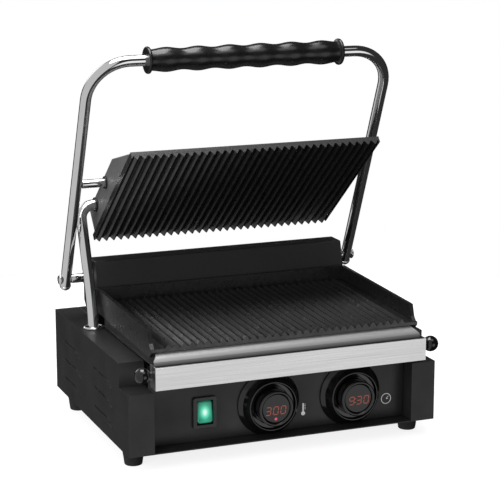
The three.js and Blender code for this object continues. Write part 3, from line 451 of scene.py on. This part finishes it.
def soften(node, width):
    """Rounds a CAD node's edges by modifiers."""
    piece = frame["nodes"][node]
    weld = piece.modifiers.new("weld", "WELD")
    weld.merge_threshold = 0.01 * MM
    bevel = piece.modifiers.new("bevel", "BEVEL")
    bevel.width = width
    bevel.segments = 2
    bevel.limit_method = "ANGLE"
    bevel.angle_limit = SHARP
    bevel.harden_normals = True
    bevel.use_clamp_overlap = True


# ------------------------------------------------------------------ the looks in use

LOOKS = {
    "powder_coat": powder_coat("powder_coat", (0.014, 0.014, 0.0145)),
    # a lighter copy of the black powder coat: painted light, its grey standing in for glare on the upper housing's
    # sides
    "powder_coat_painted_glare": powder_coat("powder_coat_painted_glare", (0.1, 0.1, 0.101), 0.5),
    "cast_iron": cast_iron(),
    "chrome": chrome(),
    "brushed_steel": brushed_steel(),
    "plain_steel": plain_steel(),
    "gloss_black": plastic("gloss_black", (0.004, 0.004, 0.004), 0.12, 300, 0.006, coat=0.3),
    "matte_black": plastic("matte_black", (0.006, 0.006, 0.006), 0.26, 1300, 0.06),
    "foot_rubber": rubber(),
    "display_lens": plastic("display_lens", (0.006, 0.006, 0.0065), 0.22, 900, 0.01),
    "led_red": lit("led_red", (0.1, 0.02, 0.01), (0.9, 0.17, 0.1), 0.26),
    "led_dot": lit("led_dot", (0.3, 0.03, 0.05), (0.9, 0.1, 0.16), 0.5),
    # the white print's faint glow is painted light; no lamp lies behind the print
    "white_print": lit("white_print", (0.75, 0.75, 0.75), (0.8, 0.8, 0.8), 0.15, 0.5),
    "brass": brass(),
    "circuit_board": circuit_board(),
    "ceramic": ceramic(),
    "green_lens": green_lens(middle("power_rocker")),
}

for subpart in frame["record"]["subparts"]:
    cad = frame["nodes"][subpart["node"]]
    cad.data.materials.clear()
    cad.data.materials.append(LOOKS[subpart["material_slot"]])
# the upper housing takes the lighter copy of the powder coat: painted glare on its sides
frame["nodes"]["upper_housing"].data.materials[0] = LOOKS["powder_coat_painted_glare"]
apron_low, apron_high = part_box("drip_apron")
# the drip apron takes painted shade: its colour darkens towards the tray
frame["nodes"]["drip_apron"].data.materials[0] = apron_steel_painted_shade(apron_low[2], apron_high[2])


# ------------------------------------------------------------------ sheet metal and castings

EDGES = {  # how far each node's edges are rounded, in millimetres
    "side_housing_left": 0.9, "side_housing_right": 0.9, "control_panel": 0.3, "deck": 0.3,
    "bottom_cover": 0.3, "back_cover": 0.6, "rear_housing": 1.0, "lower_pan": 0.5,
    "upper_housing": 1.0, "lower_grill_plate": 0.45, "upper_grill_plate": 0.45,
    "drip_tray": 0.35, "drip_apron": 0.35, "terminal_block": 0.6, "switch_housing": 0.8,
}
for node, width in EDGES.items():
    soften(node, width * MM)

joints = {joint["name"]: joint for joint in frame["joints"]}
hinge = Vector(joints["frame_hinge"]["pos_m"])
pivot = Vector(joints["platen_tilt"]["pos_m"])
lift = about_x(hinge, ARM_LEAN)


def upper_space():
    """The upper platen's own frame: origin on its rib tips, at the middle of the front edge."""
    turned = about_x(Vector(), -OPEN_TILT)
    low, _ = box_in("upper_grill_plate", turned)
    return about_x(turned @ Vector((0, low.y, low.z)), -OPEN_TILT)


upper = upper_space()


# ------------------------------------------------------------------ lifting frame

def lift_tube():
    """One bar: up the left arm, across through the grip and down the right arm."""
    low, high = box_in("lift_frame_tube", lift)
    radius = high.y
    arm_x = high.x - radius
    top = high.z - radius
    bend = 52 * MM
    left = [Vector((-arm_x, 0, low.z)), Vector((-arm_x, 0, top - bend))]
    corner = Vector((-arm_x + bend, 0, top - bend))
    left += arc(corner, X * -bend, Z * bend, 14)
    right = [Vector((-p.x, p.y, p.z)) for p in reversed(left)]
    piece = finish_mesh("lift_frame_tube_round", tube(left + right, radius, 48),
                        LOOKS["chrome"], lift)
    attach(piece, "lift_frame", "chrome", "lift_frame_tube")


def grip():
    """Moulded grip: six waves between two end flanges."""
    low, high = box_in("handle_grip", lift)
    half, flange = high.x, (high.y - low.y) / 2
    centre = Vector((0, 0, (low.z + high.z) / 2))
    collar, margin, bore = 4 * MM, 1.2 * MM, 7.2 * MM
    bulge, neck, waves, steps = 15.5 * MM, 13.2 * MM, 6, 14
    body = half - collar
    last = body - margin
    end = fillet([(bore, half, 0), (flange - 0.6 * MM, half, 1 * MM), (flange, half - 2 * MM, 1 * MM),
                  (flange - 0.4 * MM, body + 0.2 * MM, 1 * MM), (neck + 0.6 * MM, body - 0.6 * MM, 0)])
    count = waves * steps
    wave = [Vector(((bulge + neck) / 2 - (bulge - neck) / 2 * math.cos(TAU * k / steps),
                    last - k / count * 2 * last)) for k in range(count + 1)]
    other = [Vector((r, -h)) for r, h in reversed(end)]
    bm = lathe(end + wave + other, 72, closed=True)
    piece = finish_mesh("grip_moulding", bm, LOOKS["matte_black"],
                        lift @ Matrix.Translation(centre) @ TO_X)
    attach(piece, "lift_frame", "matte_black", "handle_grip")


def turned_on_sides(prefix, body, slot, space, make):
    """One turned piece for each side. make(low, high) gives a profile along +X, from x = 0."""
    for side, sign in SIDES.items():
        node = f"{prefix}_{side}"
        low, high = box_in(node, space @ flip_x(sign))
        centre = (low + high) / 2
        at = Vector((0, centre.y, centre.z))
        bm = lathe(make(low, high), 40, closed=True)
        piece = finish_mesh(f"{node}_turned", bm, LOOKS[slot],
                            space @ flip_x(sign) @ Matrix.Translation(at) @ TO_X)
        attach(piece, body, slot, node)


def nut_profile(low, high):
    """A cap nut: a short cylinder, a domed outer end and a blind bore for the shaft."""
    radius = (high.y - low.y) / 2
    bore, blind, cylinder, shoulder = 4.1 * MM, 2 * MM, 1.3 * MM, 0.7 * MM
    inner, outer = low.x, high.x
    return fillet([(bore, inner, 0), (radius, inner, 0.4 * MM), (radius, inner + cylinder, 0.6 * MM),
                   (radius * 0.8, outer - shoulder, 1.5 * MM), (radius * 0.4, outer, 2 * MM),
                   (AXIS, outer, 0), (AXIS, inner + blind, 0), (bore, inner + blind, 0)])


def rod_profile(low, high):
    radius = (high.y - low.y) / 2
    return fillet([(AXIS, low.x, 0), (radius, low.x, 0.8 * MM), (radius, high.x, 0.5 * MM),
                   (AXIS, high.x, 0)])


def arm_caps():
    """A domed cap on each arm's lower end, with a spigot up inside the tube."""
    spigot, flat, lip = 5 * MM, 0.4 * MM, 0.25 * MM
    for side in SIDES:
        node = f"arm_cap_{side}"
        low, high = box_in(node, lift)
        radius = (high.x - low.x) / 2
        at = Vector(((low.x + high.x) / 2, 0, 0))
        seat = low.z + radius
        dome = [(radius * math.sin(a), seat - radius * math.cos(a))
                for a in (k / 12 * math.pi / 2 for k in range(13))]
        profile = dome + [(radius - flat, seat + lip), (spigot, seat + lip + 0.03 * MM),
                          (spigot, high.z), (0, high.z)]
        piece = finish_mesh(f"{node}_turned", lathe(profile, 40), LOOKS["chrome"],
                            lift @ Matrix.Translation(at))
        attach(piece, "lift_frame", "chrome", node)


def hinge_shaft():
    """Thick in the middle, thin at both ends for the nuts."""
    _, high = box_in("hinge_shaft", lift)
    thick, thin, shoulder = 6 * MM, 4 * MM, 195.7 * MM
    half = [(0, high.x, 0), (thin, high.x, 0.4 * MM), (thin, shoulder, 0), (thick, shoulder, 0.6 * MM)]
    profile = fillet(half + [(thick, 0, 0)])[:-1]
    profile += [Vector((r, -h)) for r, h in reversed(profile)]
    piece = finish_mesh("hinge_shaft_turned", lathe(profile, 40), LOOKS["chrome"], lift @ TO_X)
    attach(piece, "lift_frame", "chrome", "hinge_shaft")


lift_tube()
grip()
arm_caps()
hinge_shaft()
turned_on_sides("hinge_nut", "lift_frame", "chrome", lift, nut_profile)
turned_on_sides("pivot_rod", "lift_frame", "chrome", lift, rod_profile)


def bushing_profile(bore, flange, lip):
    """A sleeve with a flange of radius flange, lip thick, at its outer end."""
    sleeve = flange - 1.7 * MM

    def profile(low, high):
        seat = high.x - lip
        return fillet([(bore, low.x, 0), (sleeve, low.x, 0.3 * MM), (sleeve, seat, 0),
                       (flange, seat, 0.3 * MM), (flange, high.x, 0.8 * MM), (bore, high.x, 0.5 * MM)])

    return profile


turned_on_sides("pivot_bushing", "upper_platen", "matte_black", upper,
                bushing_profile(bore=5.6 * MM, flange=8.4 * MM, lip=1.9 * MM))
turned_on_sides("shaft_bushing", "base", "plain_steel", Matrix.Translation(hinge),
                bushing_profile(bore=6.1 * MM, flange=11 * MM, lip=0.5 * MM))


# ------------------------------------------------------------------ wiring conduit

def conduit():
    """The tube slides through the flange as the grill closes, so its line is the path of the
    flange's hole, seen from the upper platen."""
    flange = middle("conduit_flange")
    _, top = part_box("conduit_flange")
    hole = Vector((flange.x, flange.y, top[2]))
    closing = math.radians(joints["frame_hinge"]["range_deg"][1])
    ratio = frame["record"]["behaviour"]["couplings"][0]["ratio"]

    def seen_from_platen(share):
        turn = share * closing
        point = hinge + Matrix.Rotation(-turn, 3, "X") @ (hole - hinge)
        return pivot + Matrix.Rotation(-ratio * turn, 3, "X") @ (point - pivot)

    low, high = box_in("conduit_collar", upper)
    entry = upper @ Vector((flange.x, (low.y + high.y) / 2, (low.z + high.z) / 2))
    radius, bend, spare, inner_end = 7 * MM, 18 * MM, 24.5 * MM, -156 * MM
    steps = 10
    locus = [seen_from_platen(k / steps) for k in range(steps, -1, -1)]
    down = (locus[0] - entry).normalized()
    start = entry + X * bend
    turn = arc(start + down * bend, -down * bend, -X * bend, 10)
    tail = locus[-1] + (locus[-1] - locus[-2]).normalized() * spare
    run = smooth_path([turn[-1], *locus, tail], 3)
    inside = Vector((inner_end, start.y, start.z))
    bm = tube([inside, start, *turn[:-1], *run], radius, 40)
    piece = finish_mesh("conduit_tube_round", bm, LOOKS["chrome"])
    attach(piece, "upper_platen", "chrome", "conduit_tube")


def ring_piece(node, name, body, slot, corners, space, segments=56, floor_at=None):
    """A turned ring that takes a node's place, cut flat below floor_at if that is given."""
    bm = lathe(fillet(corners), segments, closed=True)
    if floor_at is not None:
        cut_flat(bm, floor_at)
    attach(finish_mesh(name, bm, LOOKS[slot], space), body, slot, node)


def cut_flat(bm, level):
    """Takes away what lies below a level of y, and closes the cut."""
    geometry = [*bm.verts, *bm.edges, *bm.faces]
    bmesh.ops.bisect_plane(bm, geom=geometry, dist=1e-7, plane_co=(0, level, 0),
                           plane_no=(0, -1, 0), clear_outer=True)
    bmesh.ops.holes_fill(bm, edges=[e for e in bm.edges if e.is_boundary], sides=0)


def conduit_fittings():
    """The flange on the base and the collar in the upper housing's side."""
    hole, bore, skirt = 10.2 * MM, 7.2 * MM, 1.5 * MM
    at = middle("conduit_flange")
    low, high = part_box("conduit_flange")
    outer = (high[0] - low[0]) / 2
    tall = high[2] - low[2]
    ring_piece("conduit_flange", "conduit_flange_turned", "base", "chrome",
               [(hole, 0, 0), (outer, 0, 0.2 * MM), (outer, skirt, 0.6 * MM),
                (outer - 1.2 * MM, tall, 0.8 * MM), (hole + 0.3 * MM, tall, 0.5 * MM),
                (hole, tall - 0.6 * MM, 0)],
               Matrix.Translation((at.x, at.y, low[2])))
    low, high = box_in("conduit_collar", upper)
    outer = (high.z - low.z) / 2
    place = Vector((low.x, (low.y + high.y) / 2, (low.z + high.z) / 2))
    wide = high.x - low.x
    ring_piece("conduit_collar", "conduit_collar_turned", "upper_platen", "matte_black",
               [(bore, 0, 0), (outer, 0, 0.8 * MM), (outer, wide, 0.2 * MM), (bore, wide, 0)],
               upper @ Matrix.Translation(place) @ TO_X)


conduit()
conduit_fittings()


# ------------------------------------------------------------------ feet, gland, tray knobs

def feet():
    """Four turned feet, narrow at the bench, with a straight rim under the base."""
    narrow, flare, rim = 11 * MM, 5 * MM, 3 * MM
    for side in SIDES:
        for end in ("front", "rear"):
            node = f"foot_{end}_{side}"
            low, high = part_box(node)
            at = middle(node)
            top, wide = high[2], (high[0] - low[0]) / 2
            corners = [(0, 0, 0), (narrow, 0, 1.4 * MM), (wide - 0.6 * MM, top - flare, 2 * MM),
                       (wide, top - rim, 1 * MM), (wide, top, 0.4 * MM), (0, top, 0)]
            piece = finish_mesh(f"{node}_moulded", lathe(fillet(corners), 48),
                                LOOKS["foot_rubber"], Matrix.Translation((at.x, at.y, 0)))
            attach(piece, "base", "foot_rubber", node)


def tray_knobs():
    """A ball on a stem at each end of the tray, with a screw through the tray's wall."""
    ball, stem, reach = 10 * MM, 4 * MM, 12.5 * MM
    screw, screw_depth, foot = 1.4 * MM, 4 * MM, 0.3 * MM
    steps = 20
    start = math.asin(stem / ball) - math.pi / 2
    for side, sign in SIDES.items():
        node = f"tray_knob_{side}"
        low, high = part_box(node)
        at = middle(node)
        outer = max(abs(low[0]), abs(high[0]))
        seat = outer - reach - ball
        sphere = [(ball * math.cos(a), reach + ball * math.sin(a))
                  for a in (start + k / steps * (math.pi / 2 - start) for k in range(steps))]
        profile = [(0, -screw_depth), (screw, -screw_depth), (screw, foot), (stem, foot),
                   *sphere, (0, reach + ball)]
        space = flip_x(sign) @ Matrix.Translation((seat, at.y, at.z)) @ TO_X
        piece = finish_mesh(f"{node}_ball", lathe(profile, 48), LOOKS["gloss_black"], space)
        attach(piece, "drip_tray_unit", "gloss_black", node)


def gland():
    """Where the cord leaves: a sleeve through the back wall, a flange and a tapered nose."""
    bore, sleeve, nose, wall, taper = 4 * MM, 8 * MM, 9 * MM, 7.7 * MM, 5 * MM
    low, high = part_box("cable_gland")
    at = middle("cable_gland")
    outer = (high[0] - low[0]) / 2
    deep = high[1] - low[1]
    profile = fillet([(bore, 0, 0), (sleeve, 0, 0.5 * MM), (sleeve, wall, 0),
                      (outer, wall, 0.4 * MM), (outer, deep - taper, 1.2 * MM),
                      (nose, deep, 1.2 * MM), (bore, deep, 1 * MM)])
    piece = finish_mesh("cable_gland_moulded", lathe(profile, 48, closed=True),
                        LOOKS["matte_black"], Matrix.Translation((at.x, low[1], at.z)) @ TO_BACK)
    attach(piece, "base", "matte_black", "cable_gland")


feet()
tray_knobs()
gland()


# ------------------------------------------------------------------ dials and displays

SEGMENTS = {  # a top, b and c right, d bottom, e and f left, g middle
    "0": "abcdef", "3": "abcdg", "9": "abcdfg",
}


def seven_segments(bm, character, at, width, height, thick):
    """Bars with pointed ends, leaning a little to the right."""
    gap, slant = 0.35 * MM, math.tan(math.radians(7))
    half_w, half_h = width / 2, height / 2
    across = half_w - thick / 2 - gap
    up = half_h / 2 - gap - thick / 4
    spots = {
        "a": (0, half_h - thick / 2, 0), "g": (0, 0, 0), "d": (0, -half_h + thick / 2, 0),
        "b": (half_w - thick / 2, half_h / 2 - thick / 4, 1),
        "c": (half_w - thick / 2, -half_h / 2 + thick / 4, 1),
        "f": (-half_w + thick / 2, half_h / 2 - thick / 4, 1),
        "e": (-half_w + thick / 2, -half_h / 2 + thick / 4, 1),
    }
    for name in SEGMENTS[character]:
        x, z, upright = spots[name]
        long = up if upright else across
        tip = thick / 2
        bar = [(-long, 0), (-long + tip, tip), (long - tip, tip), (long, 0),
               (long - tip, -tip), (-long + tip, -tip)]
        outline = [(x - b, z + a) if upright else (x + a, z + b) for a, b in bar]
        outline = [(a + b * slant, b) for a, b in outline]
        if upright:
            outline.reverse()
        add_prism(bm, outline, LIT_DEPTH, at)


def dot(bm, at, radius, sides=20):
    add_prism(bm, [(radius * math.cos(TAU * k / sides), radius * math.sin(TAU * k / sides))
                   for k in range(sides)], LIT_DEPTH, at)


def dial(name, body):
    """A flared bezel, the ring that turns in it and the window inside the ring. Heights count
    from a plane that lies seat behind the panel's face. Returns the middle of the window."""
    flare, groove, band, seat = 9.7 * MM, 8.9 * MM, 4.6 * MM, 0.3 * MM
    bore, stem, tail, floor_level = 9 * MM, 8.5 * MM, 5 * MM, 3 * MM
    channel_depth, recess = 5 * MM, 2.6 * MM
    low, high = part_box(f"{name}_dial_base")
    at = middle(f"{name}_dial_ring")
    base, deep = (high[0] - low[0]) / 2, high[1] - low[1] + seat
    face = Matrix.Translation((at.x, high[1] + seat, at.z)) @ TO_FRONT
    rim = base - flare
    ring = rim - groove
    window = ring - band
    channel = deep - channel_depth
    ring_piece(f"{name}_dial_base", f"{name}_bezel", "base", "gloss_black", [
        (bore, seat, 0), (base, seat, 0.4 * MM), (base - 0.3 * MM, 2 * MM, 1 * MM),
        (rim + 4.4 * MM, 5.6 * MM, 4 * MM), (rim + 1.3 * MM, 11 * MM, 5 * MM),
        (rim + 0.1 * MM, deep - 1.6 * MM, 1 * MM), (rim - 0.4 * MM, deep, 0.7 * MM),
        (rim - 2 * MM, deep, 0.5 * MM), (rim - 2.6 * MM, channel, 1 * MM),
        (ring + 1 * MM, channel, 0.6 * MM), (ring + 1 * MM, floor_level, 0), (bore, floor_level, 0),
    ], face, 112, low[2] - at.z)
    _, front = box_in(f"{name}_dial_ring", face)
    tall = front.z
    inner, heel = window + 0.5 * MM, floor_level + 0.4 * MM
    ring_piece(f"{name}_dial_ring", f"{name}_knob", body, "gloss_black", [
        (inner, heel, 0), (ring - 0.5 * MM, heel, 0), (ring, tall - 6 * MM, 0),
        (ring, tall - 1.4 * MM, 1 * MM), (ring - 1.4 * MM, tall, 1 * MM),
        (inner + 1.2 * MM, tall - 0.1 * MM, 0.6 * MM), (inner, tall - 1.5 * MM, 0.4 * MM),
    ], face, 96)
    glass = tall - recess
    corners = [(0, -tail, 0), (stem, -tail, 0), (stem, tall - 9 * MM, 0),
               (window, tall - 7 * MM, 0), (window, glass - 0.3 * MM, 0.3 * MM),
               (window - 0.6 * MM, glass, 0.5 * MM), (0, glass, 0)]
    piece = finish_mesh(f"{name}_window", lathe(fillet(corners), 80), LOOKS["display_lens"], face)
    attach(piece, "base", "display_lens", f"{name}_display")
    return face @ Vector((0, 0, glass))


def readout(name, at, text, dots=()):
    """Lit characters on the window, evenly spaced about at, and dots as (x, z, radius)."""
    bm = bmesh.new()
    width, height, thick, pitch = 7.2 * MM, 10.8 * MM, 1.0 * MM, 9.9 * MM
    for k, character in enumerate(text):
        x = (k - (len(text) - 1) / 2) * pitch
        seven_segments(bm, character, at + Vector((x, 0, 0)), width, height, thick)
    for x, z, radius in dots:
        dot(bm, at + Vector((x, 0, z)), radius)
    attach(finish_mesh(name, bm, LOOKS["led_red"]), "base", "led_red")


temperature_face = dial("temperature", "temperature_ring")
timer_face = dial("timer", "timer_ring")
readout("temperature_digits", temperature_face + Vector((-0.4 * MM, 0, -2.6 * MM)), "300")
readout("timer_digits", timer_face + Vector((1.2 * MM, 0, -2.4 * MM)), "930",
        [(-4.6 * MM, 2.4 * MM, 0.7 * MM), (-5.2 * MM, -2.4 * MM, 0.7 * MM)])


def heating_light():
    """The round lamp under the temperature."""
    bm = bmesh.new()
    dot(bm, temperature_face + Vector((-0.4 * MM, 0, -13.4 * MM)), 1.8 * MM, 32)
    attach(finish_mesh("heating_light", bm, LOOKS["led_dot"]), "base", "led_red")


heating_light()


def thermometer(face):
    """Printed right of the temperature dial: a stem, a bulb and four marks."""
    stem_at, bulb_at, first_mark, pitch = 50.4 * MM, 42.9 * MM, 48.4, 2.1
    bm = bmesh.new()
    x = middle("temperature_dial_base").x + 47.5 * MM
    add_prism(bm, rounded_corners(1.9 * MM, 12 * MM, 0.9 * MM), PRINT_DEPTH,
              Vector((x, face, stem_at)))
    dot(bm, Vector((x, face - 0.02 * MM, bulb_at)), 2.7 * MM, 28)
    for k in range(4):
        add_prism(bm, rounded_corners(1.8 * MM, 0.6 * MM, 0.2 * MM, 2), PRINT_DEPTH,
                  Vector((x + 2.5 * MM, face, (first_mark + pitch * k) * MM)))
    attach(finish_mesh("temperature_symbol", bm, LOOKS["white_print"]), "base", "white_print")


def clock(face):
    """Printed right of the timer dial: a circle and two hands."""
    outer, inner, half_width = 7 * MM, 6.2 * MM, 0.4 * MM
    at = Vector((middle("timer_dial_base").x + 51.8 * MM, face, 48.8 * MM))
    bm = lathe([(inner, 0), (outer, 0), (outer, PRINT_DEPTH), (inner, PRINT_DEPTH)], 56, closed=True)
    bm.transform(Matrix.Translation(at) @ TO_FRONT)
    for angle, length in ((45, 4.4 * MM), (100, 2.8 * MM)):
        turn = math.radians(angle)
        along = Vector((math.sin(turn), math.cos(turn)))
        side = Vector((along.y, -along.x)) * half_width
        hand = [side * -1, along * length - side, along * length + side, side]
        add_prism(bm, [tuple(p) for p in hand], PRINT_DEPTH, at)
    attach(finish_mesh("timer_symbol", bm, LOOKS["white_print"]), "base", "white_print")


panel_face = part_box("control_panel")[0][1]
thermometer(panel_face)
clock(panel_face)


# ------------------------------------------------------------------ mains switch

def rocker():
    """A rocker with rounded corners and edges, its face raised at the top and the bottom."""
    hollow, edge, corner, back = 1.2 * MM, 1.4 * MM, 4 * MM, 1 * MM
    tilt = about_x(Vector(joints["rocker_press"]["pos_m"]), -ROCKER_TILT)
    low, high = box_in("power_rocker", tilt)
    half_x, half_z = high.x, (high.z - low.z) / 2
    centre = (high.z + low.z) / 2
    outline = rounded_corners(2 * half_x, 2 * half_z, corner, 8)
    bm = bmesh.new()

    def ring(share, y=None):
        made = []
        for a, b in outline:
            depth = hollow * (1 - (share * b / half_z) ** 2) + edge * share ** 16
            made.append(bm.verts.new((a * share, low.y + depth if y is None else y,
                                      b * share + centre)))
        return made

    shares = (1, 0.99, 0.97, 0.94, 0.9, 0.8, 0.65, 0.5, 0.35, 0.2, 0.08)
    rings = [ring(1, back)] + [ring(share) for share in shares]
    for outer, inner in zip(rings, rings[1:]):
        for k in range(len(outline)):
            n = (k + 1) % len(outline)
            bm.faces.new((outer[k], outer[n], inner[n], inner[k]))
    bm.faces.new(rings[0][::-1])
    bm.faces.new(rings[-1])
    bmesh.ops.remove_doubles(bm, verts=bm.verts, dist=1e-6)
    piece = finish_mesh("power_rocker_lens", bm, LOOKS["green_lens"], tilt)
    attach(piece, "rocker", "green_lens", "power_rocker")


rocker()


# ------------------------------------------------------------------ screws

def screw_head(bm, at, normal, radius=3.2 * MM):
    """A plain pan head: a short cylinder under a dome."""
    cylinder = 0.35
    turn = Z.rotation_difference(normal).to_matrix().to_4x4()
    space = Matrix.Translation(at) @ turn
    tall = radius * 0.55
    dome = [(radius, 0), (radius, tall * cylinder)]
    dome += [(radius * math.cos(a), tall * (cylinder + (1 - cylinder) * math.sin(a)))
             for a in (k / 6 * math.pi / 2 for k in range(1, 6))]
    head = lathe([(0, 0), *dome, (0, tall)], 24)
    head.transform(space)
    mesh = bpy.data.meshes.new("head")
    head.to_mesh(mesh)
    head.free()
    bm.from_mesh(mesh)
    bpy.data.meshes.remove(mesh)


def screws():
    """Screws of the back cover and the bottom cover, each set as one piece."""
    low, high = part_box("back_cover")
    bm = bmesh.new()
    for x in (-0.9, -0.3, 0.3, 0.9):
        for z in (low[2] + 8 * MM, high[2] - 10 * MM):
            screw_head(bm, Vector((x * high[0], high[1], z)), Y)
    attach(finish_mesh("back_cover_screws", bm, LOOKS["plain_steel"]), "base", "plain_steel")
    low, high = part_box("bottom_cover")
    bm = bmesh.new()
    for x in (-0.93, 0.93):
        for y in (0.86, 0.0, -0.86):
            place = Vector((x * high[0], (low[1] + high[1]) / 2 + y * (high[1] - low[1]) / 2, low[2]))
            screw_head(bm, place, -Z, 2.8 * MM)
    attach(finish_mesh("bottom_cover_screws", bm, LOOKS["plain_steel"]), "base", "plain_steel")


screws()


# ------------------------------------------------------------------ studio

def stage_material(name, colour, glow):
    look = Look(name, colour, 0.9)
    look.shader.inputs["Specular IOR Level"].default_value = 0.0
    look.shader.inputs["Emission Color"].default_value = (1, 1, 1, 1)
    look.shader.inputs["Emission Strength"].default_value = glow
    return look.material


def camera_only(piece):
    """Out of the light and the reflections, which come from the world and the lamps."""
    piece.visible_diffuse = False
    piece.visible_glossy = False
    piece.visible_transmission = False
    piece.visible_shadow = False


def floor():
    """A pale disc under the grill that only the camera sees."""
    bm = bmesh.new()
    bmesh.ops.create_circle(bm, cap_ends=True, radius=0.9, segments=96)
    piece = finish_mesh("floor", bm, stage_material("pale_floor", (0.35, 0.35, 0.35), 0.84))
    camera_only(piece)


def backdrop():
    """A pale dome that only the camera sees."""
    bm = bmesh.new()
    bmesh.ops.create_uvsphere(bm, u_segments=48, v_segments=24, radius=12)
    piece = finish_mesh("backdrop", bm, stage_material("pale_backdrop", (0, 0, 0), 1.0))
    camera_only(piece)


class Sky:
    """The room that the metal reflects, as brightness by direction."""

    def __init__(self):
        world = bpy.data.worlds.new("studio")
        bpy.context.scene.world = world
        world.use_nodes = True
        self.tree = world.node_tree
        where = self.tree.nodes.new("ShaderNodeTexCoord")
        self.direction = where.outputs["Generated"]
        self.background = self.tree.nodes["Background"]
        self.background.inputs["Color"].default_value = (1, 1, 1, 1)

    def math(self, operation, *values):
        node = self.tree.nodes.new("ShaderNodeMath")
        node.operation = operation
        for socket, value in zip(node.inputs, values):
            if isinstance(value, (int, float)):
                socket.default_value = value
            else:
                self.tree.links.new(value, socket)
        return node.outputs["Value"]

    def towards(self, direction, low, high):
        """1 where the cosine to a direction is above high, 0 below low, smooth between."""
        dot_product = self.tree.nodes.new("ShaderNodeVectorMath")
        dot_product.operation = "DOT_PRODUCT"
        self.tree.links.new(self.direction, dot_product.inputs[0])
        dot_product.inputs[1].default_value = direction
        scale = self.tree.nodes.new("ShaderNodeMapRange")
        scale.interpolation_type = "SMOOTHSTEP"
        scale.inputs["From Min"].default_value = low
        scale.inputs["From Max"].default_value = high
        self.tree.links.new(dot_product.outputs["Value"], scale.inputs["Value"])
        return scale.outputs["Result"]


def heading(azimuth, elevation):
    """A direction; azimuth from straight in front, towards the right."""
    a, e = math.radians(azimuth), math.radians(elevation)
    return (math.sin(a) * math.cos(e), -math.cos(a) * math.cos(e), math.sin(e))


def surroundings():
    """Bright on the left but not behind, three bright screens, and dim elsewhere."""
    sky = Sky()
    left = sky.towards((-1, 0, 0), 0.06, 0.16)
    behind = sky.towards((0, 1, 0), 0.7, 0.8)
    side = sky.math("MULTIPLY", left, sky.math("SUBTRACT", 1.0, behind))
    total = sky.math("MULTIPLY", side, 0.55)
    screens = [  # direction, half angle, half angle of its even middle, brightness
        (heading(22, -13), 24, 15, 0.95),
        (heading(20, 62), 22, 12, 1.5),
        ((-0.26, 0.9, 0.34), 18, 9, 1.8),
    ]
    for direction, reach, middle_reach, brightness in screens:
        screen = sky.towards(direction, math.cos(math.radians(reach)),
                             math.cos(math.radians(middle_reach)))
        total = sky.math("ADD", total, sky.math("MULTIPLY", screen, brightness))
    dim = 0.03
    total = sky.math("ADD", total, dim)
    sky.tree.links.new(total, sky.background.inputs["Strength"])


def softbox(name, at, aim, size, power, reflected=True):
    """A rectangular lamp at a place, turned to aim; the camera never sees it."""
    light = bpy.data.lights.new(name, "AREA")
    light.shape = "RECTANGLE"
    light.size, light.size_y = size
    light.energy = power
    lamp = bpy.data.objects.new(name, light)
    lamp.location = at
    lamp.rotation_euler = (Vector(aim) - Vector(at)).to_track_quat("-Z", "Y").to_euler()
    lamp.visible_camera = False
    lamp.visible_glossy = reflected
    bpy.context.scene.collection.objects.link(lamp)


def camera():
    away = Vector(heading(CAMERA["azimuth"], CAMERA["elevation"]))
    data = bpy.data.cameras.new("camera")
    data.lens = CAMERA["lens"]
    data.sensor_width = 36
    eye = bpy.data.objects.new("camera", data)
    eye.location = CAMERA["target"] + away * CAMERA["distance"]
    eye.rotation_euler = (-away).to_track_quat("-Z", "Y").to_euler()
    bpy.context.scene.collection.objects.link(eye)
    bpy.context.scene.camera = eye


floor()
backdrop()
surroundings()
grill_middle, upper_middle = (0, 0, 0.15), (0, 0, 0.25)
softbox("overhead", (-0.15, 0.05, 1.5), grill_middle, size=(1.1, 0.8), power=20)
softbox("front_left", (-1.6, -1.0, 0.7), upper_middle, size=(0.6, 1.1), power=20, reflected=False)
softbox("front_right", (1.0, -1.8, 0.9), grill_middle, size=(0.4, 0.9), power=5, reflected=False)
softbox("behind", (0.6, 1.8, 0.9), grill_middle, size=(0.8, 0.8), power=9, reflected=False)
camera()
bpy.context.scene.view_settings.view_transform = "Standard"
